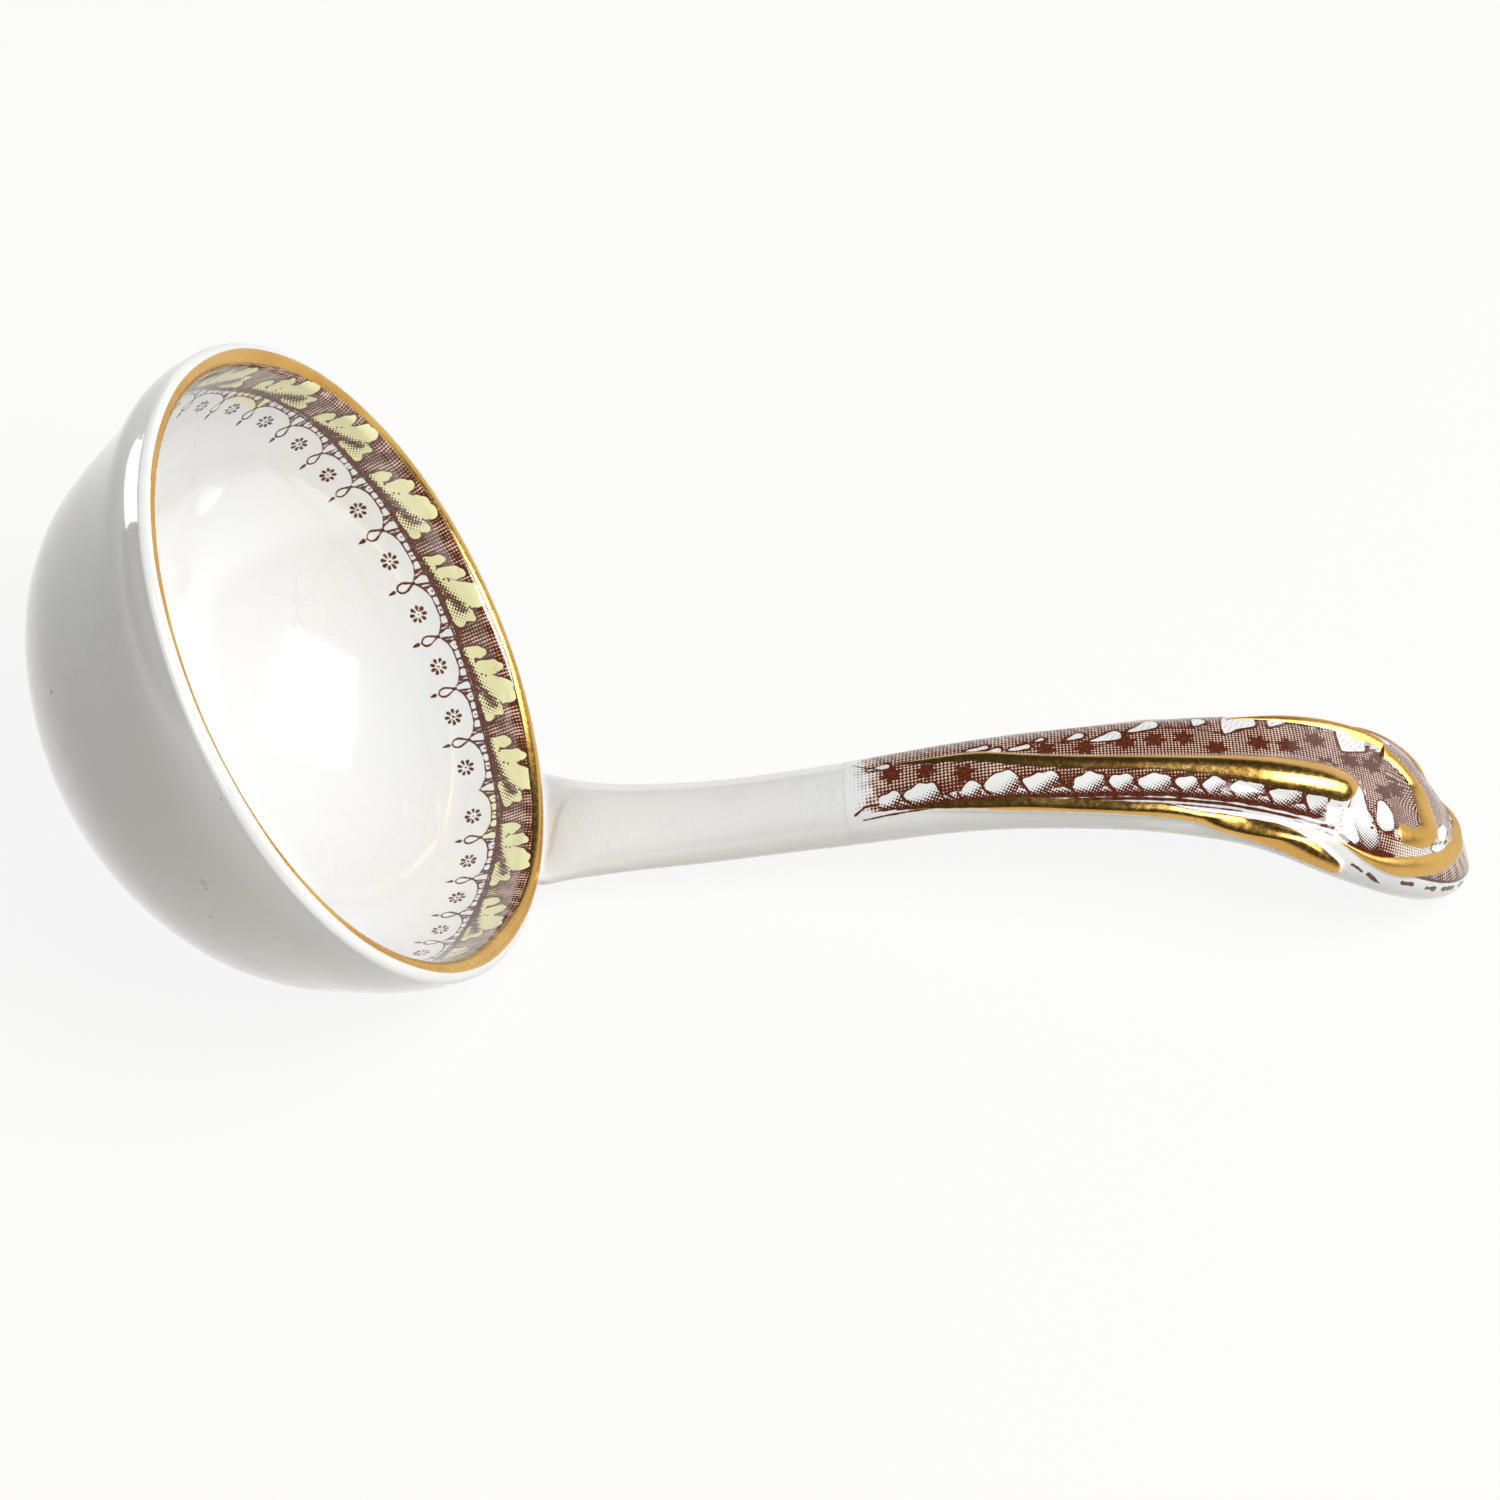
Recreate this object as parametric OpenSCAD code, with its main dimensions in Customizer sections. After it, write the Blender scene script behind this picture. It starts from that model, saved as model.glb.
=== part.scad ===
// Earthenware sauce ladle: a round bowl, a pressed handle stuck to its side, and gilt and printed decoration.
// The shape is worked out with the bowl upright on its own axis, the handle towards +X and the rim at z = 0.
// Every piece is then tipped over to lie as the ladle lies on a table, on the bowl's side and the handle's end.

/* [Bowl] */
// Outside diameter of the rim
bowl_diameter = 72; // [64:1:80]
// Outside depth from the rim to the bottom
bowl_depth = 32.8; // [31:0.1:36]
// Thickness of the wall just under the lip
wall = 2.7; // [2.3:0.1:3.2]
// Thickness of the bottom
bottom_thickness = 3.2; // [2.6:0.1:4]

/* [Handle] */
// Length of the handle along its own curve
handle_length = 106.7; // [98:0.1:114]
// Width of the plain shank
shank_width = 9.8; // [8.6:0.1:11]
// Width of the scrolled end
terminal_width = 21.2; // [19:0.1:23]
// Thickness of the scrolled end above its side edge
terminal_height = 5.9; // [5.2:0.1:6.6]
// How far the top face is turned about the handle's own length, in degrees
handle_turn = 8; // [0:1:10]
// Height of the moulded ridges, as a share of the drawn height
ridge_height = 1; // [0.6:0.1:1.2]

/* [Decoration] */
// How far the gilt band runs down the inside below the rounding of the lip
gilt_band = 0.3; // [0.2:0.1:1.5]
// Depth of the printed border under the gilt band
border_depth = 8.6; // [7:0.1:10]
// Thickness of the printed skin
print_skin = 0.1; // [0.08:0.01:0.15]
// Thickness of the gilt lines
gilt_skin = 0.12; // [0.1:0.01:0.2]

/* [Hidden] */
glaze_white = [0.93, 0.92, 0.88];
gold = [0.80, 0.58, 0.22];
print_brown = [0.45, 0.27, 0.20];
leaf_yellow = [0.86, 0.84, 0.60];

// Smooth curve through a table of [place, value] pairs.
function span(s, t, i = 0) = (i >= len(t) - 2 || s < t[i + 1][0]) ? i : span(s, t, i + 1);
function slope(t, i) =
    let (lo = max(i - 1, 0), hi = min(i + 1, len(t) - 1))
    (t[hi][1] - t[lo][1]) / (t[hi][0] - t[lo][0]);
function curve(s, t) =
    let (
        i = span(s, t),
        h = t[i + 1][0] - t[i][0],
        u = max(0, min(1, (s - t[i][0]) / h)),
        m0 = slope(t, i) * h,
        m1 = slope(t, i + 1) * h
    )
    (2 * u * u * u - 3 * u * u + 1) * t[i][1] + (u * u * u - 2 * u * u + u) * m0
    + (3 * u * u - 2 * u * u * u) * t[i + 1][1] + (u * u * u - u * u) * m1;

// Bowl profile: the outside follows r = R sqrt(1 - (depth share) ^ 1.9) and ends in a small flat.
rim_r = bowl_diameter / 2;
lip_round = 1.1;
bowl_power = 1.9;
flat_r = 7;
function outer_r(z) = rim_r * sqrt(max(0, 1 - pow(max(0, z) / (bowl_depth + 0.7), bowl_power)));
inner_rim_r = rim_r - wall;
inner_depth = bowl_depth - bottom_thickness;
function inner_r(z) = inner_rim_r * sqrt(max(0, 1 - pow(max(0, z) / inner_depth, bowl_power)));

// Depths at which the walls are drawn, closer together towards the bottom.
wall_steps = 16;
outer_wall = [
    for (i = [0:wall_steps])
        let (a = 90 * i / wall_steps, z = lip_round + (bowl_depth - lip_round) * sin(a))
        [max(outer_r(z), flat_r * sin(a)), -z]
];
inner_lip_z = 1.3;
band_end_z = inner_lip_z + gilt_band;
border_end_z = band_end_z + border_depth;
function inner_point(z) = [inner_r(z - inner_lip_z), -z];
inner_band = [for (i = [0:2]) inner_point(inner_lip_z + gilt_band * i / 2)];
inner_border = [for (i = [1:8]) inner_point(band_end_z + (border_end_z - band_end_z) * i / 8)];
inner_low = [
    for (i = [1:12])
        let (a = 90 * i / 12, z = border_end_z + (inner_depth - border_end_z) * sin(a))
        [i == 12 ? 0 : inner_r(z - inner_lip_z * (1 - sin(a))), -z]
];

// The lip: a round outer shoulder, a narrow crest and a wider round inside.
crest_r = rim_r - lip_round;
outer_lip = [
    for (a = [0:18:90]) [crest_r + lip_round * cos(a), -lip_round + lip_round * sin(a)]
];
inner_lip_round = crest_r - inner_rim_r;
inner_lip = [
    for (a = [18:18:72]) [crest_r - inner_lip_round * sin(a), -inner_lip_z + inner_lip_z * cos(a)]
];
bowl_outline = concat(
    [[0, -bowl_depth]],
    [for (i = [wall_steps:-1:1]) outer_wall[i]],
    outer_lip,
    inner_lip,
    inner_band,
    inner_border,
    inner_low
);
outer_body = concat(
    [[0, -bowl_depth]],
    [for (i = [wall_steps:-1:1]) outer_wall[i]],
    outer_lip,
    [[0, 0]]
);

// A skin that lies on a run of profile points, lifted off them towards the bowl's axis.
function lifted(pts, t) = [
    for (i = [0:len(pts) - 1])
        let (a = pts[max(i - 1, 0)], b = pts[min(i + 1, len(pts) - 1)], d = (b - a) / norm(b - a))
        pts[i] + t * [d[1], -d[0]]
];
function reversed(v) = [for (i = [len(v) - 1:-1:0]) v[i]];
function band_ring(pts, t) = concat(pts, reversed(lifted(pts, t)));
rim_gilt_points = concat([[crest_r, 0]], inner_lip, inner_band);
border_points = concat([inner_band[2]], inner_border);

// Handle centreline: round numbers for the run outwards (x) and upwards (z) from the bowl's rim.
line_points = [
    [36.8, -0.8], [39.8, 4.4], [45.3, 14.9], [50.6, 27.5], [55.9, 40.7], [61.8, 52.1],
    [67.5, 61.2], [73.7, 68.5], [80.8, 73.4], [88.0, 76.6], [99.0, 79.6]
];
stretch = handle_length / 106.7;
root = line_points[0] + [rim_r - 36, 0];
line_x = [for (i = [0:len(line_points) - 1]) [i, root[0] + (line_points[i] - line_points[0])[0] * stretch]];
line_z = [for (i = [0:len(line_points) - 1]) [i, root[1] + (line_points[i] - line_points[0])[1] * stretch]];
line_steps = 8;
line_run = [
    for (i = [0:(len(line_points) - 1) * line_steps])
        [curve(i / line_steps, line_x), curve(i / line_steps, line_z)]
];
line_length = [
    for (i = 0, c = 0; i < len(line_run);
        c = c + (i + 1 < len(line_run) ? norm(line_run[i + 1] - line_run[i]) : 0), i = i + 1) c
];
place_x = [for (i = [0:len(line_run) - 1]) [line_length[i], line_run[i][0]]];
place_z = [for (i = [0:len(line_run) - 1]) [line_length[i], line_run[i][1]]];
line_end = line_length[len(line_length) - 1];
function at_line(s) = [lookup(s, place_x), lookup(s, place_z)];
function along_line(s) =
    let (m = max(0.8, min(line_end - 0.8, s)), d = at_line(m + 0.8) - at_line(m - 0.8))
    d / norm(d);

// Section of the handle along its length: half width, height above the side edge and depth below it.
shank = shank_width / 2;
terminal = terminal_width / 2;
swell = terminal - shank;
half_width = [
    [0, shank * 1.66], [4, shank * 1.35], [10, shank * 1.14], [22, shank], [36, shank * 1.03], [50, shank * 1.09],
    [64, shank + 0.29 * swell], [76, shank + 0.60 * swell], [86, terminal], [95, terminal * 1.01]
];
top_height = [
    [0, 1.0], [3, 2.6], [7, 3.2], [22, 3.6], [36, 4.0], [50, 5.0], [64, 5.2],
    [76, terminal_height * 0.9], [86, terminal_height], [95, terminal_height * 1.03]
];
under_depth = [
    [0, 3.0], [10, 3.1], [22, 3.4], [36, 3.4], [50, 3.5], [64, 3.7], [76, 4.0], [86, 4.2], [95, 3.9]
];
// How square the section is: 2 is an ellipse.
section_power = [[0, 2.3], [76, 2.3], [84, 2.3], [90.4, 2.4]];
// The root was pressed on a little to one side.
root_sway = [[0, 0.8], [6, 0.1], [14, 0], [20, 0]];
// The end is a half oval in plan, drawn round the focus.
focus = 90.4;
tip_length = 16.6;
tip_thinning = 0.33;
tip_point = 1.08;

// Rows of the top face, each a share of the half width, from the middle out to the side edge.
top_ridge = [
    [0, 0.17], [34, 0.17], [42, 0.19], [52, 0.30], [58, 0.37], [65, 0.42], [75, 0.405],
    [80, 0.40], [84, 0.41], [88, 0.45], [91, 0.44]
];
top_ridge_width = [
    [0, 0.08], [34, 0.08], [42, 0.12], [58, 0.13], [65, 0.135], [75, 0.17], [80, 0.18],
    [84, 0.15], [87.4, 0.08], [91, 0.07]
];
inner_scroll = [[0, 0.46], [34, 0.46], [52, 0.56], [65, 0.64], [80, 0.69], [86, 0.67], [90.4, 0.61]];
outer_scroll = [[0, 0.68], [34, 0.68], [52, 0.75], [65, 0.81], [78, 0.84], [83, 0.88], [90.4, 0.905]];
side_ridge = [
    [0, 0.86], [34, 0.86], [40, 0.86], [46, 0.89], [52, 0.92], [58, 0.935], [65, 0.945], [75, 0.955],
    [81, 0.957], [84, 0.968], [87, 0.975], [91, 0.975]
];
function row_share(k, s) =
    let (
        r = curve(s, top_ridge), rw = curve(s, top_ridge_width),
        u = curve(s, inner_scroll), v = curve(s, outer_scroll), e = curve(s, side_ridge)
    )
    k == 0 ? 0
    : k == 1 ? r - rw
    : k == 2 ? r
    : k == 3 ? r + rw
    : k == 4 ? (r + rw + u - 0.07) / 2
    : k == 5 ? u - 0.07
    : k == 6 ? u
    : k == 7 ? u + 0.07
    : k == 8 ? v - 0.045
    : k == 9 ? v
    : k == 10 ? v + 0.03
    : k == 11 ? e - 0.018
    : k == 12 ? e
    : 1;
side_row = 13;
under_angles = [101, 119, 141, 161, 180];
last_row = side_row + len(under_angles);

// Height of the moulding on each row: ridges stand proud and the panel between them is slightly hollow.
panel_hollow = [[0, 0], [40, 0], [52, -0.2], [64, -0.35], [84, -0.35], [90.4, -0.25]];
top_rise = [[0, 0], [36, 0], [42, 0.2], [52, 0.45], [65, 0.5], [75, 0.6], [84, 0.75], [87, 0.5], [88.6, 0], [91, 0]];
inner_rise = [[0, 0], [84, 0], [86.4, 0.15], [88.4, 0.5], [90.4, 0.6]];
outer_rise = [[0, 0], [81, 0], [84, 0.3], [87, 0.45], [90.4, 0.5]];
side_rise = [[0, 0], [36, 0], [42, 0.25], [60, 0.45], [75, 0.6], [84, 0.8], [86.4, 0.5], [87.8, 0], [91, 0]];
groove = [[0, 0], [60, 0], [75, -0.2], [86, -0.35], [90.4, -0.45]];
function row_rise(k, s) = ridge_height * (
    k == 0 ? curve(s, panel_hollow)
    : k == 2 ? curve(s, top_rise)
    : k == 6 ? curve(s, inner_rise)
    : k == 7 || k == 8 ? curve(s, groove)
    : k == 9 ? curve(s, outer_rise)
    : k == 12 ? curve(s, side_rise)
    : 0
);

// Columns of the surface: up one side, round the end in a fan, and back down the other side.
stations = [
    0, 1.5, 3.5, 6, 9, 12, 15.5, 19, 22.5, 26, 29.5, 33, 35, 37, 39, 41.5, 44, 46.5, 49, 51.5, 54, 56.5,
    59, 61.5, 64, 66.5, 69, 71.5, 74, 76.5, 79, 81, 82.5, 84, 85.2, 86.4, 87.4, 88.4, 89.4, focus
];
fan_steps = 14;
ns = len(stations);
columns = concat(
    [for (s = stations) [s, 0]],
    [for (i = [1:fan_steps - 1]) [focus, 180 * i / fan_steps]],
    [for (i = [ns - 1:-1:0]) [stations[i], 180]]
);
last_column = len(columns) - 1;
fan_start = ns - 1;
fan_end = ns - 1 + fan_steps;

// One point of the surface, lifted by a layer's thickness square to the section.
function dome(share, power) = pow(max(0, 1 - pow(share, power)), 1 / power);
function signed_pow(v, e) = sign(v) * pow(abs(v), e);
function local_point(k, s, psi, lift) =
    let (
        top = k <= side_row,
        power = curve(s, section_power),
        q = top ? row_share(k, s) : pow(max(0, sin(under_angles[k - side_row - 1])), 2 / power),
        a = curve(s, half_width),
        ahead = pow(max(0, sin(psi)), tip_point),
        across = signed_pow(cos(psi), tip_point),
        reach = tip_length * pow(q, top ? 3.3 : 1.5) * ahead,
        side = -a * q * across,
        share = min(1, pow(
            pow(abs(reach / tip_length), 2 / tip_point) + pow(abs(side / a), 2 / tip_point), tip_point / 2
        )),
        high = curve(s, top_height),
        low = curve(s, under_depth),
        height = (top ? high : -low) * dome(share, power) * (1 - tip_thinning * pow(reach / tip_length, 2)),
        b = top ? high : low,
        gh = (height / (b * b)),
        gr = pow(share, 1.3) / a,
        g = max(0.0001, norm([gh, gr])),
        d = row_rise(k, s) + lift,
        side_out = k == 0 || k == last_row ? 0 : gr / g
    )
    [
        stretch * (s + reach) + d * side_out * sin(psi),
        side - d * side_out * cos(psi),
        height + d * (k == 0 ? 1 : k == last_row ? -1 : gh / g)
    ];
function bent(p) =
    let (
        c = at_line(p[0]),
        t = along_line(p[0]),
        over = max(0, p[0] - line_end),
        side = p[1] + curve(p[0], root_sway),
        up = p[2] * cos(handle_turn) - side * sin(handle_turn),
        y = side * cos(handle_turn) + p[2] * sin(handle_turn)
    )
    [c[0] + over * t[0] - up * t[1], y, c[1] + over * t[1] + up * t[0]];
function surface_point(k, m, lift) =
    let (c = columns[m]) bent(local_point(k, c[0], c[1], lift));

// The middle rows at the top and the bottom are shared by both sides, so the surface closes there.
function shared(k, m) = k == 0 || k == last_row ? min(min(m, last_column - m), fan_start) : m;

// A slab over rows k0 to k1 and columns m0 to m1 between two layers, closed all round its edge.
function slab_points(k0, k1, m0, m1, low, high) = [
    for (layer = [low, high]) for (k = [k0:k1]) for (m = [m0:m1]) surface_point(k, shared(k, m), layer)
];
function slab_id(k0, k1, m0, m1, layer, k, m) =
    let (mm = shared(k, m)) layer * (k1 - k0 + 1) * (m1 - m0 + 1) + (k - k0) * (m1 - m0 + 1) + (mm - m0);
function is_face(f) = f[0] != f[1] && f[1] != f[2] && f[2] != f[0];
function cell(a, b, c, d) = [for (f = [[a, b, c], [a, c, d]]) if (is_face(f)) f];
function slab_faces(k0, k1, m0, m1) =
    let (id = function(layer, k, m) slab_id(k0, k1, m0, m1, layer, k, m))
    concat(
        [
            for (k = [k0:k1 - 1]) for (m = [m0:m1 - 1])
                each cell(id(1, k, m), id(1, k, m + 1), id(1, k + 1, m + 1), id(1, k + 1, m))
        ],
        [
            for (k = [k0:k1 - 1]) for (m = [m0:m1 - 1])
                each [
                    for (f = cell(id(0, k, m), id(0, k, m + 1), id(0, k + 1, m + 1), id(0, k + 1, m)))
                        [f[2], f[1], f[0]]
                ]
        ],
        [
            for (m = [m0:m1 - 1])
                each cell(id(1, k1, m), id(1, k1, m + 1), id(0, k1, m + 1), id(0, k1, m))
        ],
        k0 == 0 ? [] : [
            for (m = [m0:m1 - 1])
                each cell(id(0, k0, m), id(0, k0, m + 1), id(1, k0, m + 1), id(1, k0, m))
        ],
        [
            for (k = [k0:k1 - 1])
                each cell(id(1, k, m0), id(1, k + 1, m0), id(0, k + 1, m0), id(0, k, m0))
        ],
        [
            for (k = [k0:k1 - 1])
                each cell(id(0, k, m1), id(0, k + 1, m1), id(1, k + 1, m1), id(1, k, m1))
        ]
    );

// The handle's own solid: the whole surface, closed by a flat cap at the root.
handle_points = [
    for (k = [0:last_row]) for (m = [0:last_column]) surface_point(k, shared(k, m), 0)
];
function handle_id(k, m) = k * (last_column + 1) + shared(k, m);
root_loop = concat(
    [for (k = [0:last_row]) [k, 0]],
    [for (k = [last_row - 1:-1:1]) [k, last_column]]
);
handle_faces = concat(
    [
        for (k = [0:last_row - 1]) for (m = [0:last_column - 1])
            each cell(handle_id(k, m), handle_id(k, m + 1), handle_id(k + 1, m + 1), handle_id(k + 1, m))
    ],
    [[for (r = root_loop) handle_id(r[0], r[1])]]
);

// The joint: the handle's root swelling into the bowl's wall, cut to the bowl's outside.
root_ring = [for (r = root_loop) surface_point(r[0], shared(r[0], r[1]), 0)];
joint_centre = [rim_r - 4.2, 0, -6.2];
joint_half_width = 8.2;
joint_half_height = 5.2;
joint_lean = 14;
wall_ring = [
    for (i = [0:len(root_loop) - 1])
        let (
            k = root_loop[i][0],
            near = root_loop[i][1] == 0,
            a = k <= side_row ? 90 * k / side_row : 90 + 90 * (k - side_row) / (last_row - side_row),
            y = joint_half_width * sin(a) * (near ? -1 : 1),
            h = joint_half_height * cos(a)
        )
        joint_centre + [h * sin(joint_lean) * 0.6, y, h * cos(joint_lean)]
];
joint_rings = 5;
function joint_point(i, f) =
    let (e = pow(f, 0.75), w = e * e * (3 - 2 * e)) root_ring[i] * (1 - w) + wall_ring[i] * w
    + [0, 0, 0.6 * sin(180 * f)] * (root_ring[i][2] > wall_ring[i][2] ? -1 : 0);
joint_points = [
    for (j = [0:joint_rings]) for (i = [0:len(root_loop) - 1]) joint_point(i, j / joint_rings)
];
nj = len(root_loop);
joint_faces = concat(
    [[for (i = [nj - 1:-1:0]) i]],
    [
        for (j = [0:joint_rings - 1]) for (i = [0:nj - 1])
            each cell(
                j * nj + i, j * nj + (i + 1) % nj, (j + 1) * nj + (i + 1) % nj, (j + 1) * nj + i
            )
    ],
    [[for (i = [0:nj - 1]) joint_rings * nj + i]]
);

// How the ladle lies: the tilt is found where the handle's end comes down to the bowl's lowest level.
function bowl_low(tilt) = max([for (p = outer_body) p[0] * sin(tilt) - p[1] * cos(tilt)]);
end_points = [
    for (k = [side_row - 1:last_row]) for (m = [fan_start - 8:fan_end + 8]) surface_point(k, shared(k, m), 0)
];
function end_low(tilt) = min([for (p = end_points) p[2] * cos(tilt) - p[0] * sin(tilt)]) + bowl_low(tilt);
function find_tilt(lo, hi, n) =
    let (mid = (lo + hi) / 2) n == 0 ? mid : end_low(mid) > 0 ? find_tilt(mid, hi, n - 1) : find_tilt(lo, mid, n - 1);
lying_tilt = find_tilt(40, 70, 18);
lying_height = bowl_low(lying_tilt);
reach_left = max([for (p = outer_body) p[0] * cos(lying_tilt) - p[1] * sin(lying_tilt)]);
reach_right = max([for (p = end_points) p[0] * cos(lying_tilt) + p[2] * sin(lying_tilt)]);
lying_shift = (reach_left - reach_right) / 2;

module lying() {
    translate([lying_shift, 0, lying_height])
        rotate([0, lying_tilt, 0])
            children();
}

module skin(k0, k1, m0, m1, low, high) {
    polyhedron(slab_points(k0, k1, m0, m1, low, high), slab_faces(k0, k1, m0, m1), convexity = 6);
}

module bowl() {
    color(glaze_white)
        lying()
            rotate_extrude($fn = 120)
                polygon(bowl_outline);
}

module handle() {
    color(glaze_white)
        lying()
            polyhedron(handle_points, handle_faces, convexity = 6);
}

module handle_joint() {
    color(glaze_white)
        lying()
            difference() {
                polyhedron(joint_points, joint_faces, convexity = 4);
                rotate_extrude($fn = 120)
                    polygon(outer_body);
            }
}

module rim_gilding() {
    color(gold)
        lying()
            rotate_extrude($fn = 120)
                polygon(band_ring(rim_gilt_points, gilt_skin));
}

module bowl_border_print() {
    color(leaf_yellow)
        lying()
            rotate_extrude($fn = 120)
                polygon(band_ring(border_points, print_skin));
}

// First and last columns of the print, which covers the top of the handle and its sides to the edge.
print_start = 12;
module handle_print() {
    color(print_brown)
        lying()
            skin(0, side_row, print_start, last_column - print_start, 0, print_skin);
}

// Gilt lines follow the ridges: rows first, then the columns where each starts and ends.
line_start = 14;
finger_end = 36;
far_line_start = 29;
module near_top_gilt_line() {
    color(gold)
        lying()
            skin(1, 3, line_start, finger_end, print_skin, print_skin + gilt_skin);
}

module far_top_gilt_line() {
    color(gold)
        lying()
            skin(1, 3, last_column - finger_end, last_column - far_line_start, print_skin, print_skin + gilt_skin);
}

module near_side_gilt_line() {
    color(gold)
        lying()
            skin(11, side_row, line_start, finger_end, print_skin, print_skin + gilt_skin);
}

module far_side_gilt_line() {
    color(gold)
        lying()
            skin(11, side_row, last_column - finger_end, last_column - line_start, print_skin, print_skin + gilt_skin);
}

module inner_scroll_gilding() {
    color(gold)
        lying()
            skin(5, 7, fan_start - 2, fan_end + 2, print_skin, print_skin + gilt_skin);
}

module outer_scroll_gilding() {
    color(gold)
        lying()
            skin(8, 10, fan_start - 8, fan_end + 8, print_skin, print_skin + gilt_skin);
}

bowl();
handle();
handle_joint();
rim_gilding();
bowl_border_print();
handle_print();
near_top_gilt_line();
far_top_gilt_line();
near_side_gilt_line();
far_side_gilt_line();
inner_scroll_gilding();
outer_scroll_gilding();
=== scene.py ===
import bpy
import numpy as np
from mathutils import Matrix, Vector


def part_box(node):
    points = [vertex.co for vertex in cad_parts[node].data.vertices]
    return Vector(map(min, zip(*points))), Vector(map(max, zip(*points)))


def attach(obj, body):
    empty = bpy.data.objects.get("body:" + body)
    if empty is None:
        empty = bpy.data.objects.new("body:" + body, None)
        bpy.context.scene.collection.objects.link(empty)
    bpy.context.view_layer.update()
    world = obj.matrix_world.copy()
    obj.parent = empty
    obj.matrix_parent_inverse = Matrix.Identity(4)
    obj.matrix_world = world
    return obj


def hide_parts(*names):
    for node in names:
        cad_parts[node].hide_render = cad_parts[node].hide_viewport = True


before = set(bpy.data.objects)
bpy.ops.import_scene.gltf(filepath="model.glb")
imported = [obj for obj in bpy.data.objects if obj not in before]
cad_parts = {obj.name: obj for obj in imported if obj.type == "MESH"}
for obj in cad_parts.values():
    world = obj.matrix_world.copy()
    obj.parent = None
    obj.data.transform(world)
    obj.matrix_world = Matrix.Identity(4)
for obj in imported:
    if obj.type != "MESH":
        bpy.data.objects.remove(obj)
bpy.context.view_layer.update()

# Earthenware sauce ladle, lying on the side of its bowl and the end of its handle.
# Shapes are worked out in millimetres in the bowl's own frame: the rim at z = 0, the handle towards +x.
MM = 0.001
rng = np.random.default_rng(1880)

# Bowl
RIM_R = 36.0
BOWL_DEPTH = 32.8
CURVE_DEPTH = BOWL_DEPTH + 0.7
WALL = 2.7
BOTTOM_THICKNESS = 3.2
LIP_ROUND = 1.5
CREST_R = RIM_R - LIP_ROUND
INNER_R = RIM_R - WALL
INNER_DEPTH = BOWL_DEPTH - BOTTOM_THICKNESS
INNER_LIP_Z = 1.45
BEVEL = 1.45
BOWL_POWER = 1.9
FLAT_R = 7.0

LIP_DROP = 1.0
# How far the fired wall strays from the round profile, by depth: all round but for the handle's side, and
# on the flattened side, whose middle is at FLAT_AZIMUTH.
WALL_SHIFT = [(0, 0.0), (4.2, 0.0), (7.5, -0.15), (11.2, -0.26), (15.8, 0.12), (19.4, 0.38), (22, 0.38), (24.6, 0.26), (27, 0.1), (30, 0.0)]
FLAT_SIDE = [(0, 0.0), (4.2, 0.0), (8, -0.85), (12, -1.05), (15.7, -0.9), (19.5, -0.4), (22.4, 0.05), (24.5, 0.3), (27, 0.15), (30, 0.0)]
FLAT_AZIMUTH = 155.0

# Handle
LINE = [(36.8, -0.8), (39.8, 4.4), (45.3, 14.9), (50.6, 27.5), (55.9, 40.7), (61.8, 52.1),
        (67.5, 61.2), (73.7, 68.5), (80.8, 73.4), (88.0, 76.6), (99.0, 79.6)]
TURN = np.radians(8)
FOCUS = 90.4
TIP = 16.6
TIP_THINNING = 0.33
TIP_POINT = 1.08
SHANK, TERMINAL, HEIGHT = 4.9, 10.6, 5.9
SWELL = TERMINAL - SHANK
HALF_WIDTH = [(0, SHANK * 1.66), (4, SHANK * 1.35), (10, SHANK * 1.14), (22, SHANK), (36, SHANK * 1.03),
              (50, SHANK * 1.09), (64, SHANK + 0.29 * SWELL), (76, SHANK + 0.60 * SWELL), (86, TERMINAL),
              (95, TERMINAL * 1.01)]
TOP_HEIGHT = [(0, 1.0), (3, 2.6), (7, 3.2), (22, 3.6), (36, 4.0), (50, 5.0), (64, 5.2), (76, HEIGHT * 0.9),
              (86, HEIGHT), (95, HEIGHT * 1.03)]
UNDER_DEPTH = [(0, 3.0), (10, 3.1), (22, 3.4), (36, 3.4), (50, 3.5), (64, 3.7), (76, 4.0), (86, 4.2), (95, 3.9)]
SECTION_POWER = [(0, 2.3), (76, 2.3), (84, 2.3), (90.4, 2.4)]
ROOT_SWAY = [(0, 0.8), (6, 0.1), (14, 0), (20, 0)]

# Ridges, drawn on the print plane: x runs along the handle, y across its top from the middle (near side
# negative), both along the surface. Each point is (x, y, half width of the gilding, height of the ridge).
NEAR_FINGER = [(39.5, 0.9, 0.15, 0.0), (43, 0.5, 0.4, 0.1), (48, 0.0, 0.7, 0.25), (53, -1.1, 0.82, 0.32), (58, -1.8, 0.9, 0.38),
               (63, -2.2, 0.95, 0.42), (68, -2.45, 1.05, 0.5), (74, -2.8, 1.6, 0.85), (78.5, -3.2, 2.2, 1.2), (82.7, -3.45, 2.45, 1.45),
               (84.6, -3.75, 2.25, 1.4)]
FAR_FINGER = [(74.5, 5.2, 0.15, 0.0), (77.5, 5.55, 0.4, 0.25), (81, 5.75, 0.7, 0.5), (85, 5.7, 0.8, 0.7),
              (88.6, 5.1, 0.85, 0.9)]
INNER_SCROLL = [(88.6, 5.1, 0.85, 0.9), (90.6, 4.4, 0.8, 0.75), (92.5, 2.9, 0.8, 0.6), (94.0, 0.8, 0.85, 0.55), (95.3, -1.6, 0.95, 0.6),
                (96.1, -3.9, 1.05, 0.65), (95.9, -5.8, 1.15, 0.7), (94.6, -7.1, 1.2, 0.6), (92.3, -7.5, 1.2, 0.3)]
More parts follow.
